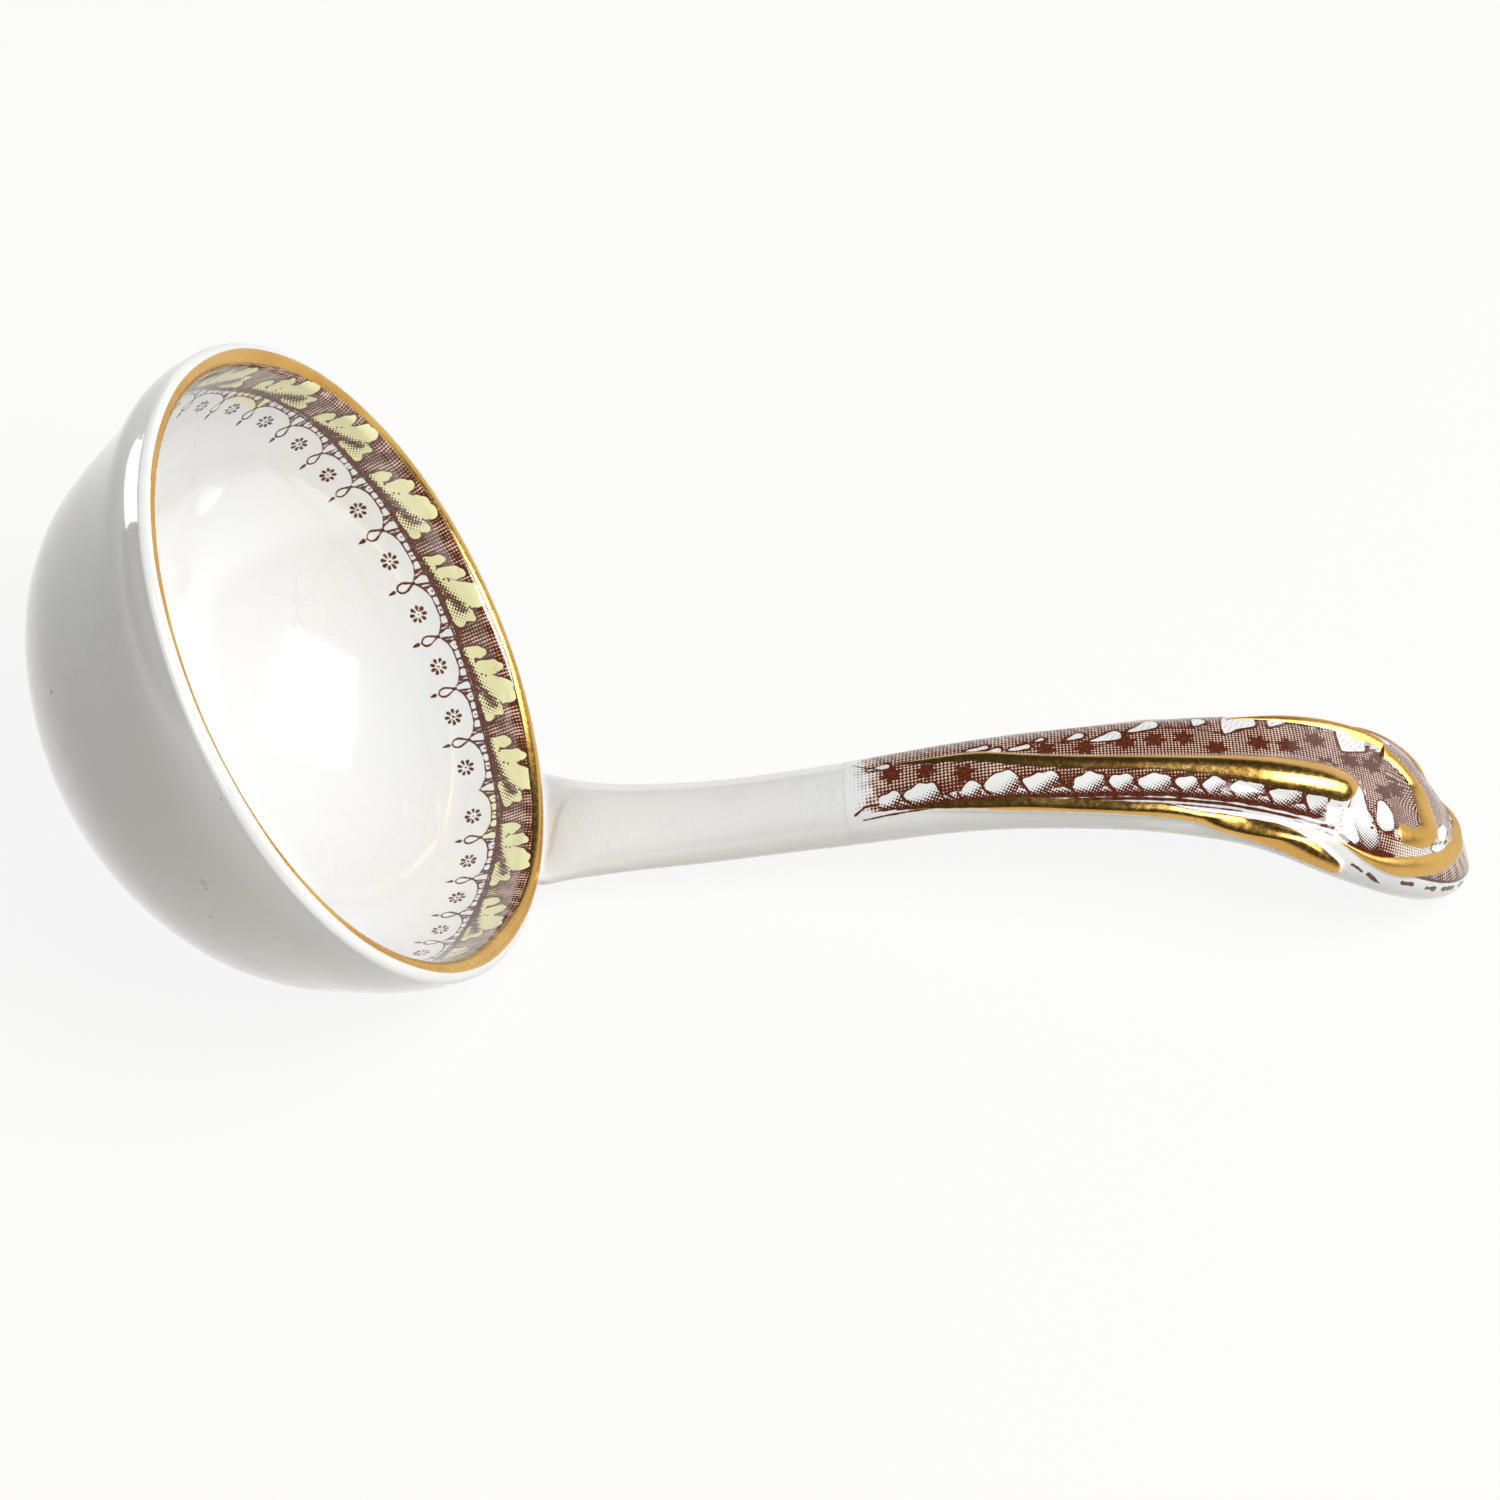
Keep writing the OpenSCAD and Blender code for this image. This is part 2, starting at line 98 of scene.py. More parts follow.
OUTER_SCROLL = [(84.5, -10.0, 0.1, 0.0), (86.5, -10.8, 0.22, 0.15), (89, -11.4, 0.5, 0.3), (91.5, -11.3, 0.9, 0.5), (94, -10.7, 1.15, 0.6),
                (97, -9.5, 1.2, 0.65), (99.3, -7.5, 1.2, 0.65), (100.9, -5, 1.15, 0.6), (101.5, -2.5, 1.1, 0.55), (101.8, 0, 1.0, 0.5),
                (101.6, 2.5, 0.95, 0.35), (100.6, 5, 0.9, 0.2), (98.6, 7.4, 0.85, 0.2), (95.6, 9.2, 0.8, 0.25), (92, 10.2, 0.6, 0.3),
                (88, 10.8, 0.25, 0.1)]
SIDE_RIDGE = [(40.5, -5.3, 0.15, 0.0), (44, -5.6, 0.35, 0.15), (48, -6.1, 0.5, 0.3), (53, -6.6, 0.75, 0.4), (58, -7.2, 0.7, 0.45), (63, -7.7, 0.7, 0.5),
              (68, -8.3, 0.8, 0.55), (71.5, -9.0, 0.85, 0.6), (76, -10.0, 1.3, 0.75), (79.3, -10.9, 1.55, 0.9), (82.7, -12.5, 1.6, 1.0),
              (85.2, -13.6, 1.3, 0.9)]
FAR_SIDE_RIDGE = [(x, -y, wide, high) for x, y, wide, high in SIDE_RIDGE]
# Towards the shank the side gilding lies on the upper flank of its ridge.
FLANK_SHIFT = 0.38
RIDGES = [NEAR_FINGER, FAR_FINGER, INNER_SCROLL, OUTER_SCROLL, SIDE_RIDGE, FAR_SIDE_RIDGE]
PANEL_HOLLOW = [(40, 0), (52, -0.2), (64, -0.35), (84, -0.35), (90.4, -0.25)]
FAR_SINK = [(66, 0.0), (73, 0.7), (79, 1.1), (85, 1.0), (89, 0.45), (93, 0.1), (96, 0.0)]
END_DIP = (100.6, 5.6, 2.7, 1.1)
# The near panel, between its two ridges, leans outwards towards the end.
PANEL_LEAN = [(64, 0.0), (70, 0.4), (76, 0.85), (82, 0.95), (85, 0.3), (86, 0.0)]


def curve(s, table):
    """Smooth curve through a table of (place, value) pairs, the same as in the part's source."""
    t = np.asarray(table, float)
    x, y = t[:, 0], t[:, 1]
    n = len(x)
    lo, hi = np.maximum(np.arange(n) - 1, 0), np.minimum(np.arange(n) + 1, n - 1)
    m = (y[hi] - y[lo]) / (x[hi] - x[lo])
    s = np.asarray(s, float)
    i = np.clip(np.searchsorted(x, s, side="right") - 1, 0, n - 2)
    h = x[i + 1] - x[i]
    u = np.clip((s - x[i]) / h, 0, 1)
    return ((2 * u ** 3 - 3 * u ** 2 + 1) * y[i] + (u ** 3 - 2 * u ** 2 + u) * m[i] * h
            + (3 * u ** 2 - 2 * u ** 3) * y[i + 1] + (u ** 3 - u ** 2) * m[i + 1] * h)


def step(lo, hi, x):
    u = np.clip((x - lo) / (hi - lo), 0, 1)
    return u * u * (3 - 2 * u)


def outer_r(depth):
    return RIM_R * np.sqrt(np.maximum(0, 1 - (np.maximum(depth, 0) / CURVE_DEPTH) ** BOWL_POWER))


def inner_r(depth):
    return INNER_R * np.sqrt(np.maximum(0, 1 - (np.maximum(depth, 0) / INNER_DEPTH) ** BOWL_POWER))


# The handle's centreline, by its length.
_i = np.arange((len(LINE) - 1) * 8 + 1) / 8
LINE_X = curve(_i, [(k, p[0]) for k, p in enumerate(LINE)])
LINE_Z = curve(_i, [(k, p[1]) for k, p in enumerate(LINE)])
LINE_S = np.r_[0, np.cumsum(np.hypot(np.diff(LINE_X), np.diff(LINE_Z)))]
LINE_END = LINE_S[-1]


def at_line(s):
    return np.interp(s, LINE_S, LINE_X), np.interp(s, LINE_S, LINE_Z)


def along_line(s):
    m = np.clip(s, 0.8, LINE_END - 0.8)
    x1, z1 = at_line(m + 0.8)
    x0, z0 = at_line(m - 0.8)
    d = np.hypot(x1 - x0, z1 - z0)
    return (x1 - x0) / d, (z1 - z0) / d


def bent(p):
    """Bends local points (along, across, up) on to the centreline."""
    s = p[..., 0]
    cx, cz = at_line(s)
    tx, tz = along_line(s)
    over = np.maximum(0, s - LINE_END)
    side = p[..., 1] + curve(s, ROOT_SWAY)
    up = p[..., 2] * np.cos(TURN) - side * np.sin(TURN)
    y = side * np.cos(TURN) + p[..., 2] * np.sin(TURN)
    return np.stack([cx + over * tx - up * tz, y, cz + over * tz + up * tx], -1)


def smooth_path(points, spacing=0.5):
    """Points of a ridge path on a smooth line, about half a millimetre apart."""
    p = np.asarray(points, float)
    k = np.arange(len(p))
    steps = max(2, int(np.hypot(*np.diff(p[:, :2], axis=0).T).sum() / spacing))
    t = np.linspace(0, len(p) - 1, steps)
    return np.stack([curve(t, np.stack([k, p[:, c]], -1)) for c in range(p.shape[1])], -1)


RIDGE_PATHS = [smooth_path(ridge) for ridge in RIDGES]


def relief(x, y):
    """Height of the moulding at places on the print plane."""
    total = curve(x, PANEL_HOLLOW) * np.clip(1 - (y / 4.5) ** 2, 0, 1)
    total = total - curve(x, PANEL_LEAN) * step(5.2, 8.4, -y) * step(10.6, 8.9, -y)
    highest = np.zeros(x.shape)
    for path_points in RIDGE_PATHS:
        best = np.zeros(x.shape)
        for (x0, y0, w0, h0), (x1, y1, w1, h1) in zip(path_points[:-1], path_points[1:]):
            near = (np.abs(x - x0) < 4) & (np.abs(y - y0) < 4)
            if not near.any():
                continue
            d, u = to_segment(x[near], y[near], (x0, y0), (x1, y1))
            share = d / (1.18 * (w0 + (w1 - w0) * u) + 0.12)
            rise = (h0 + (h1 - h0) * u) * np.clip(1 - share ** 2, 0, 1) ** 1.25
            best[near] = np.maximum(best[near], rise)
        highest = np.maximum(highest, best)
    return total + highest


def to_segment(x, y, p, q):
    """Distance to a segment and how far along it, from 0 to 1."""
    dx, dy = q[0] - p[0], q[1] - p[1]
    u = np.clip(((x - p[0]) * dx + (y - p[1]) * dy) / max(1e-9, dx * dx + dy * dy), 0, 1)
    return np.hypot(x - p[0] - u * dx, y - p[1] - u * dy), u


def handle_point(q, top, s, psi, rise):
    """Local point of the handle: q is the share of the half width, psi turns round the end."""
    a = curve(s, HALF_WIDTH)
    ahead = np.maximum(0, np.sin(psi)) ** TIP_POINT
    across = np.sign(np.cos(psi)) * np.abs(np.cos(psi)) ** TIP_POINT
    reach = TIP * q ** np.where(top, 3.3, 1.5) * ahead
    side = -a * q * across
    e = 2 / TIP_POINT
    share = np.minimum(1, (np.abs(reach / TIP) ** e + np.abs(side / a) ** e) ** (1 / e))
    high, low = curve(s, TOP_HEIGHT), curve(s, UNDER_DEPTH)
    b = np.where(top, high, low)
    power = curve(s, SECTION_POWER)
    dome = np.maximum(0, 1 - share ** power) ** (1 / power)
    height = np.where(top, high, -low) * dome * (1 - TIP_THINNING * (reach / TIP) ** 2)
    gh, gr = height / b ** 2, share ** 1.3 / a
    g = np.maximum(1e-4, np.hypot(gh, gr))
    return np.stack([s + reach + rise * gr / g * np.sin(psi), side - rise * gr / g * np.cos(psi),
                     height + rise * gh / g], -1)


def plain_lengths(theta, s, psi):
    """Length over the plain top from the middle, at each angle theta (rows) of each column (s, psi)."""
    fine = np.linspace(0, np.pi / 2, 181)[:, None]
    q = np.sin(fine) ** (2 / curve(s, SECTION_POWER))[None, :]
    points = handle_point(q, True, s[None, :] + 0 * q, psi[None, :] + 0 * q, 0.0)
    run = np.zeros(q.shape)
    run[1:] = np.cumsum(np.linalg.norm(np.diff(points, axis=0), axis=-1), axis=0)
    if theta is None:
        return fine[:, 0], run
    at = np.clip(theta, 0, np.pi / 2) / (np.pi / 2) * 180
    low = np.minimum(at.astype(int), 179)
    return run[low] + (run[low + 1] - run[low]) * (at - low)[:, None]


def on_handle(x, y, lift):
    """Points of the handle's top at places on the print plane."""
    shape = x.shape
    x, y = x.reshape(-1), y.reshape(-1)
    s = np.minimum(x, FOCUS)
    w = np.where(x > FOCUS, np.hypot(x - FOCUS, y), np.abs(y))
    psi = np.where(x > FOCUS, np.arctan2(np.maximum(x - FOCUS, 0), -y), np.where(y > 0, np.pi, 0.0))
    fine, run = plain_lengths(None, s, psi)
    w = np.minimum(w, run[-1] * 0.9999)
    k = np.clip((run < w).sum(0) - 1, 0, len(fine) - 2)
    n = np.arange(len(x))
    u = (w - run[k, n]) / np.maximum(1e-9, run[k + 1, n] - run[k, n])
    theta = fine[k] + (fine[k + 1] - fine[k]) * u
    q = np.sin(theta) ** (2 / curve(s, SECTION_POWER))
    rise = relief(x, y) - far_sink(x, y) + np.reshape(lift + 0 * x.reshape(shape), -1)
    return bent(handle_point(q, True, s, psi, rise)).reshape(*shape, 3)


def far_sink(x, y):
    """The far flank was pressed lower than the near one, with a dip beside the end of the outer scroll."""
    cx, cy, wide, deep = END_DIP
    dip = deep * np.exp(-((x - cx) ** 2 + (y - cy) ** 2) / wide ** 2)
    return curve(x, FAR_SINK) * step(6.0, 9.5, y) + dip


# The lying pose: the tilt at which the bowl and the handle's end both touch the table.
def low_of_bowl(tilt):
    depth = np.linspace(0, BOWL_DEPTH, 400)
    return np.max(np.maximum(outer_r(depth), FLAT_R * (depth >= BOWL_DEPTH)) * np.sin(tilt) + depth * np.cos(tilt))


def find_lying():
    theta = np.radians(np.linspace(90, 180, 40))[:, None]
    s = np.full((1, 60), FOCUS)
    psi = np.linspace(0, np.pi, 60)[None, :]
    q = np.sin(theta) ** (2 / curve(s, SECTION_POWER))
    end = bent(handle_point(q, False, s + 0 * q, psi + 0 * q, 0.0)).reshape(-1, 3)
    lo, hi = np.radians(40), np.radians(70)
    for _ in range(40):
        mid = (lo + hi) / 2
        gap = np.min(end[:, 2] * np.cos(mid) - end[:, 0] * np.sin(mid)) + low_of_bowl(mid)
        lo, hi = (mid, hi) if gap > 0 else (lo, mid)
    return (lo + hi) / 2


TILT = find_lying()
HEIGHT_OF_RIM = low_of_bowl(TILT)
box_lo, box_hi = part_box("bowl")
REACH_LEFT = np.max(outer_r(np.linspace(0, BOWL_DEPTH, 400)) * np.cos(TILT)
                    + np.linspace(0, BOWL_DEPTH, 400) * np.sin(TILT))
SHIFT = box_lo[0] / MM + REACH_LEFT


def lying(p):
    """Bowl frame in mm to the frame of the part in metres."""
    c, s = np.cos(TILT), np.sin(TILT)
    x = SHIFT + p[..., 0] * c + p[..., 2] * s
    z = HEIGHT_OF_RIM - p[..., 0] * s + p[..., 2] * c
    return np.stack([x, p[..., 1], z], -1) * MM


def lying_direction(v):
    c, s = np.cos(TILT), np.sin(TILT)
    return np.array([v[0] * c + v[2] * s, v[1], -v[0] * s + v[2] * c])


# Mesh helpers
def grid_faces(rows, cols, wrap=False):
    r = np.arange(rows - 1)[:, None]
    c = np.arange(cols if wrap else cols - 1)[None, :]
    n = (c + 1) % cols
    return np.stack([r * cols + c, r * cols + n, (r + 1) * cols + n, (r + 1) * cols + c], -1).reshape(-1, 4)


def make_piece(name, points, faces, material, nodes, fields=None, merge=0.0):
    """A smooth-shaded mesh from bowl-frame points, with named numbers on its points."""
    mesh = bpy.data.meshes.new(name)
    verts = lying(points).reshape(-1, 3)
    mesh.from_pydata(verts.tolist(), [], faces.tolist())
    for key, values in (fields or {}).items():
        kind = "FLOAT_VECTOR" if values.ndim == points.ndim and values.shape[-1] == 3 else "FLOAT"
        attribute = mesh.attributes.new(key, kind, "POINT")
        flat = values.reshape(-1).astype(np.float32)
        attribute.data.foreach_set("vector" if kind == "FLOAT_VECTOR" else "value", flat)
    if merge:
        import bmesh
        bm = bmesh.new()
        bm.from_mesh(mesh)
        bmesh.ops.remove_doubles(bm, verts=bm.verts, dist=merge)
        bmesh.ops.recalc_face_normals(bm, faces=bm.faces)
        bm.to_mesh(mesh)
        bm.free()
    mesh.polygons.foreach_set("use_smooth", np.ones(len(mesh.polygons), bool))
    mesh.update()
    mesh.materials.append(material)
    piece = bpy.data.objects.new(name, mesh)
    bpy.context.scene.collection.objects.link(piece)
    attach(piece, "root")
    if nodes:
        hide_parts(*nodes)
    return piece


# Material helpers
class Nodes:
    """Short calls for building a material's node tree."""

    def __init__(self, name):
        self.material = bpy.data.materials.new(name)
        self.material.use_nodes = True
        self.tree = self.material.node_tree
        self.tree.nodes.clear()
        self.out = self.tree.nodes.new("ShaderNodeOutputMaterial")
        self.shader = self.tree.nodes.new("ShaderNodeBsdfPrincipled")
        self.tree.links.new(self.shader.outputs[0], self.out.inputs[0])

    def put(self, socket, value):
        if hasattr(value, "is_linked"):
            self.tree.links.new(value, socket)
        elif isinstance(value, (tuple, list)) and socket.type == "RGBA" and len(value) == 3:
            socket.default_value = (*value, 1)
        else:
            socket.default_value = value

    def node(self, kind, inputs=None, out=0, **settings):
        n = self.tree.nodes.new(kind)
        for key, value in settings.items():
            setattr(n, key, value)
        for key, value in (inputs or {}).items():
            self.put(n.inputs[key], value)
        return n.outputs[out]

    def math(self, op, a, b=0.0, c=None, clamp=False):
        inputs = {0: a, 1: b} if c is None else {0: a, 1: b, 2: c}
        return self.node("ShaderNodeMath", inputs, operation=op, use_clamp=clamp)

    def field(self, name, vector=False):
        return self.node("ShaderNodeAttribute", out=1 if vector else 2, attribute_name=name)

    def noise(self, where, scale, detail=2.0, rough=0.5):
        return self.node("ShaderNodeTexNoise", {"Vector": where, "Scale": scale, "Detail": detail, "Roughness": rough})

    def ramp(self, value, lo, hi, a=0.0, b=1.0, smooth=True):
        return self.node("ShaderNodeMapRange", {"Value": value, "From Min": lo, "From Max": hi, "To Min": a, "To Max": b},
                         interpolation_type="SMOOTHSTEP" if smooth else "LINEAR")

    def mix(self, factor, a, b):
        n = self.tree.nodes.new("ShaderNodeMix")
        n.data_type = "RGBA"
        self.put(n.inputs["Factor"], factor)
        self.put(n.inputs["A"], a)
        self.put(n.inputs["B"], b)
        return n.outputs["Result"]

    def place(self):
        return self.node("ShaderNodeTexCoord", out=3)

    def bump(self, height, strength, distance, below=None):
        inputs = {"Height": height, "Strength": strength, "Distance": distance}
        if below is not None:
            inputs["Normal"] = below
        return self.node("ShaderNodeBump", inputs)

    def set(self, **values):
        for key, value in values.items():
            self.put(self.shader.inputs[key.replace("_", " ")], value)


GLAZE_WARM = (0.79, 0.775, 0.74)
GLAZE_COOL = (0.76, 0.765, 0.765)
SPECK = (0.13, 0.10, 0.08)
CRAZE = (0.55, 0.52, 0.46)


# Marks fired into the outer wall: azimuth, depth, radius in mm, strength
WALL_MARKS = [(206.8, 18.7, 0.30, 0.75), (250.5, 9.8, 0.65, 0.30), (252.0, 10.1, 0.25, 0.45), (258.8, 12.7, 0.40, 0.35),
              (265.8, 6.8, 0.35, 0.22), (237.0, 1.4, 0.16, 0.6)]
MARK_BROWN = (0.28, 0.21, 0.14)


def wall_marks(n, colour):
    """Single dark specks and brown stains at set places of the bowl's outer wall."""
    where = n.place()
    ragged = n.math("MULTIPLY", n.math("SUBTRACT", n.noise(where, 3500.0, 2.0), 0.5), 0.0004)
    for azimuth, depth, radius, strength in WALL_MARKS:
        phi = np.radians(azimuth)
        r = float(outer_r(depth) + wall_shift(phi, np.array(depth)))
        centre = lying(np.array([r * np.cos(phi), r * np.sin(phi), -depth])).tolist()
        away = n.node("ShaderNodeVectorMath", {0: where, 1: centre}, out=1, operation="DISTANCE")
        mark = n.ramp(n.math("ADD", away, ragged), 0.4 * radius * MM, radius * MM, strength, 0.0)
        colour = n.mix(mark, colour, MARK_BROWN)
    return colour


def shank_crazing(n):
    """Small upright cracks across the shank, in patches."""
    where = n.node("ShaderNodeVectorMath", {0: n.place(), 1: (1100.0, 420.0, 420.0)}, operation="MULTIPLY")
    bend = n.node("ShaderNodeVectorMath", {0: n.node("ShaderNodeTexNoise", {"Vector": where, "Scale": 0.7}, out=1), "Scale": 0.9},
                  operation="SCALE")
    where = n.node("ShaderNodeVectorMath", {0: where, 1: bend}, operation="ADD")
    cell = n.node("ShaderNodeTexVoronoi", {"Vector": where, "Scale": 1.0}, feature="DISTANCE_TO_EDGE")
    crack = n.ramp(cell, 0.01, 0.07, 1.0, 0.0)
    return both(n, crack, n.ramp(n.noise(n.place(), 95.0, 2.0), 0.42, 0.62, 0.0, 0.22))


def glaze_colour(n):
    """White tin-like glaze: cloudy tint, fine crazing and a few iron specks."""
    where = n.place()
    cloud = n.ramp(n.noise(where, 45.0, 3.0), 0.35, 0.65)
    colour = n.mix(cloud, GLAZE_WARM, GLAZE_COOL)
    warp = n.node("ShaderNodeMapRange", {"Value": n.noise(where, 260.0, 2.0), "To Min": -0.4, "To Max": 0.4})
    cell = n.node("ShaderNodeTexVoronoi", {"Vector": where, "Scale": 330.0}, feature="DISTANCE_TO_EDGE")
    crack = n.ramp(n.math("ADD", cell, n.math("MULTIPLY", warp, 0.03)), 0.004, 0.03, 1.0, 0.0)
    patch = n.ramp(n.noise(where, 60.0, 2.0), 0.5, 0.72)
    crack = n.math("MULTIPLY", n.math("MULTIPLY", crack, patch), 0.2)
    colour = n.mix(crack, colour, CRAZE)
    spot = n.node("ShaderNodeTexVoronoi", {"Vector": where, "Scale": 150.0}, feature="F1")
    size = n.math("MULTIPLY", n.ramp(n.noise(where, 90.0, 1.0), 0.62, 0.78), 0.09)
    speck = n.ramp(n.math("SUBTRACT", spot, size), -0.03, 0.0, 0.75, 0.0)
    return n.mix(speck, colour, SPECK), crack


def finish_glaze(n, colour, crack, ior=1.68, coat=0.6):
    where = n.place()
    wave = n.noise(where, 70.0, 2.0)
    fine = n.noise(where, 900.0, 2.0)
    normal = n.bump(wave, 0.25, 0.0006)
    normal = n.bump(n.math("ADD", fine, n.math("MULTIPLY", crack, -3.0)), 0.05, 0.0001, normal)
    n.set(Base_Color=colour, Roughness=n.ramp(fine, 0.3, 0.7, 0.06, 0.11), IOR=ior, Normal=normal,
          Coat_Weight=coat, Coat_Roughness=0.04, Subsurface_Weight=0.06, Subsurface_Scale=0.0012)
    n.put(n.shader.inputs["Subsurface Radius"], (1.0, 0.8, 0.6))
    return n.material


def bowl_glaze():
    n = Nodes("bowl_glaze")
    colour, crack = glaze_colour(n)
    return finish_glaze(n, wall_marks(n, colour), crack)


def handle_glaze():
    n = Nodes("handle_glaze")
    colour, crack = glaze_colour(n)
    crazing = shank_crazing(n)
    return finish_glaze(n, n.mix(crazing, colour, CRAZE), n.math("MAXIMUM", crack, crazing))


GOLD = (0.64, 0.36, 0.09)
GOLD_PALE = (0.74, 0.46, 0.14)
GOLD_WORN = (0.38, 0.21, 0.06)


def gold(name, rough):
    """Burnished gilding: brushed, thinner in places, with faint scratches."""
    n = Nodes(name)
    where = n.place()
    cloud = n.ramp(n.noise(where, 140.0, 4.0), 0.35, 0.7)
    colour = n.mix(cloud, GOLD, GOLD_PALE)
    worn = n.ramp(n.noise(where, 700.0, 4.0, 0.7), 0.62, 0.75)
    colour = n.mix(n.math("MULTIPLY", worn, 0.5), colour, GOLD_WORN)
    scratch = n.noise(where, 1600.0, 4.0, 0.7)
    n.set(Base_Color=colour, Metallic=1.0, Roughness=n.ramp(scratch, 0.3, 0.7, rough, rough + 0.12),
          Normal=n.bump(scratch, 0.05, 0.00006, n.bump(n.noise(where, 150.0, 1.0), 0.16, 0.0003)))
    return n.material


INK = (0.075, 0.010, 0.002)
INK_LIGHT = (0.19, 0.055, 0.022)
LEAF_TINT = (0.80, 0.775, 0.40)
WASH = (0.66, 0.46, 0.33)


def screen(n, where, pitch, angle, jitter, along=0.25):
    """A lattice of light dots in ink: low at each light dot's middle; along above 0.25 joins the ink into lines."""
    shifted = n.node("ShaderNodeVectorMath", {0: where, 1: n.node(
        "ShaderNodeVectorMath", {0: n.node("ShaderNodeTexNoise", {"Vector": where, "Scale": 1.1}, out=1), "Scale": jitter},
        operation="SCALE")}, operation="ADD")
    turned = n.node("ShaderNodeVectorRotate", {"Vector": shifted, "Angle": angle}, rotation_type="Z_AXIS")
    split = n.tree.nodes.new("ShaderNodeSeparateXYZ")
    n.put(split.inputs[0], turned)
    turn = 2 * np.pi
    u = n.math("COSINE", n.math("MULTIPLY", split.outputs[0], turn / pitch[0]))
    v = n.math("COSINE", n.math("MULTIPLY", split.outputs[1], turn / pitch[1]))
    v = n.math("MULTIPLY", v, 0.5 - along)
    return n.math("SUBTRACT", 0.5, n.math("MULTIPLY_ADD", u, along, v))


def edge(n, distance, soft):
    """1 inside a shape whose signed distance is below 0."""
    return n.ramp(distance, -soft, soft, 1.0, 0.0)


def both(n, a, b):
    return n.math("MULTIPLY", a, b)


def either(n, a, b):
    return n.math("MAXIMUM", a, b)


def printed(name, pitch, angle, along, fine_angle, leaf_colour, tint_all, wash_all, ior, coat):
    """Print under the glaze: solid lines, net ground by a dot screen, and leaves left light with stippled shading."""
    n = Nodes(name)
    colour, crack = glaze_colour(n)
    where = n.field("print_place", vector=True)
    leaf = n.field("leaf")
    line = n.field("line")
    ground = n.field("ground")
    shade = n.field("shade")
    dots = screen(n, where, pitch, angle, 0.16, along)
    fine = screen(n, where, (0.34, 0.34), fine_angle, 0.1)
    rough_print = n.noise(where, 4.5, 3.0)
    net = n.ramp(n.math("SUBTRACT", n.math("MULTIPLY_ADD", rough_print, 0.3, ground), dots), 0.09, 0.21)
    stipple = n.ramp(n.math("SUBTRACT", n.math("MULTIPLY_ADD", rough_print, 0.2, shade), fine), 0.04, 0.16)
    in_leaf = edge(n, leaf, 0.03)
    ink = n.math("ADD", both(n, net, n.math("SUBTRACT", 1.0, in_leaf)), both(n, stipple, in_leaf), clamp=True)
    ink = either(n, ink, edge(n, line, 0.035))
    wash = both(n, n.ramp(ground, 0.15, 0.45), n.math("SUBTRACT", 1.0, in_leaf))
    colour = n.mix(n.math("MULTIPLY", wash, wash_all), colour, WASH)
    tint = both(n, n.field("tint"), n.math("SUBTRACT", 1.0, wash))
    colour = n.mix(n.math("MULTIPLY", tint, tint_all), colour, leaf_colour)
    depth = n.ramp(n.noise(where, 2.2, 3.0), 0.3, 0.75)
    brown = n.mix(n.math("MULTIPLY", depth, 0.35), INK, INK_LIGHT)
    colour = n.mix(n.math("MULTIPLY", ink, n.ramp(rough_print, 0.2, 0.5, 0.82, 1.0)), colour, brown)
    return finish_glaze(n, colour, crack, ior, coat)


# Signed distances for the drawn ornament, in mm of print
def lobe(x, y, p, q, wide, narrow):
    """A drop shape from the narrow end p to the wide end q."""
    d, u = to_segment(x, y, p, q)
    return d - (narrow + (wide - narrow) * u ** 0.8)


def oval(x, y, cx, cy, rx, ry, turn=0.0):
    c, s = np.cos(turn), np.sin(turn)
    u, v = (x - cx) * c + (y - cy) * s, -(x - cx) * s + (y - cy) * c
    k = np.hypot(u / rx, v / ry)
    return (k - 1) * np.hypot(u, v) / np.maximum(k, 1e-6) * 0.95 + (k - 1) * 0.05


def path(x, y, points, width):
    d = np.full(np.broadcast(x, y).shape, 9.0)
    for p, q in zip(points[:-1], points[1:]):
        d = np.minimum(d, to_segment(x, y, p, q)[0])
    return d - width / 2


def soft_join(a, b, k):
    h = np.clip(0.5 + 0.5 * (b - a) / k, 0, 1)
    return b * (1 - h) + a * h - k * h * (1 - h)


def waves(x, y, size, amount, seed):
    """Gentle wobble for drawn edges: a few sines with fixed random phases."""
    local = np.random.default_rng(seed)
    total = 0.0
    for _ in range(5):
        kx, ky = local.normal(0, 1 / size, 2) * 2
        total = total + np.sin(kx * x + ky * y + local.uniform(0, 6.28))
    return total * amount / 2.5


# Lip and inside of the bowl, by arc length from the crest
def inner_profile():
    a = np.radians(np.linspace(0, 90, 40))
    inwards, down = np.sin(a) ** (2 / BEVEL), 1 - np.cos(a) ** (2 / BEVEL)
    lip = np.stack([CREST_R - (CREST_R - INNER_R) * inwards, -INNER_LIP_Z * down], -1)
    b = np.radians(np.linspace(0, 90, 260))[1:]
    depth = INNER_LIP_Z + (INNER_DEPTH - INNER_LIP_Z) * np.sin(b)
    wall = np.stack([inner_r(depth - INNER_LIP_Z * (1 - np.sin(b))), -depth], -1)
    wall[-1, 0] = 0
    return np.concatenate([lip, wall])


INSIDE = inner_profile()
INSIDE_LENGTH = np.r_[0, np.cumsum(np.hypot(*np.diff(INSIDE, axis=0).T))]


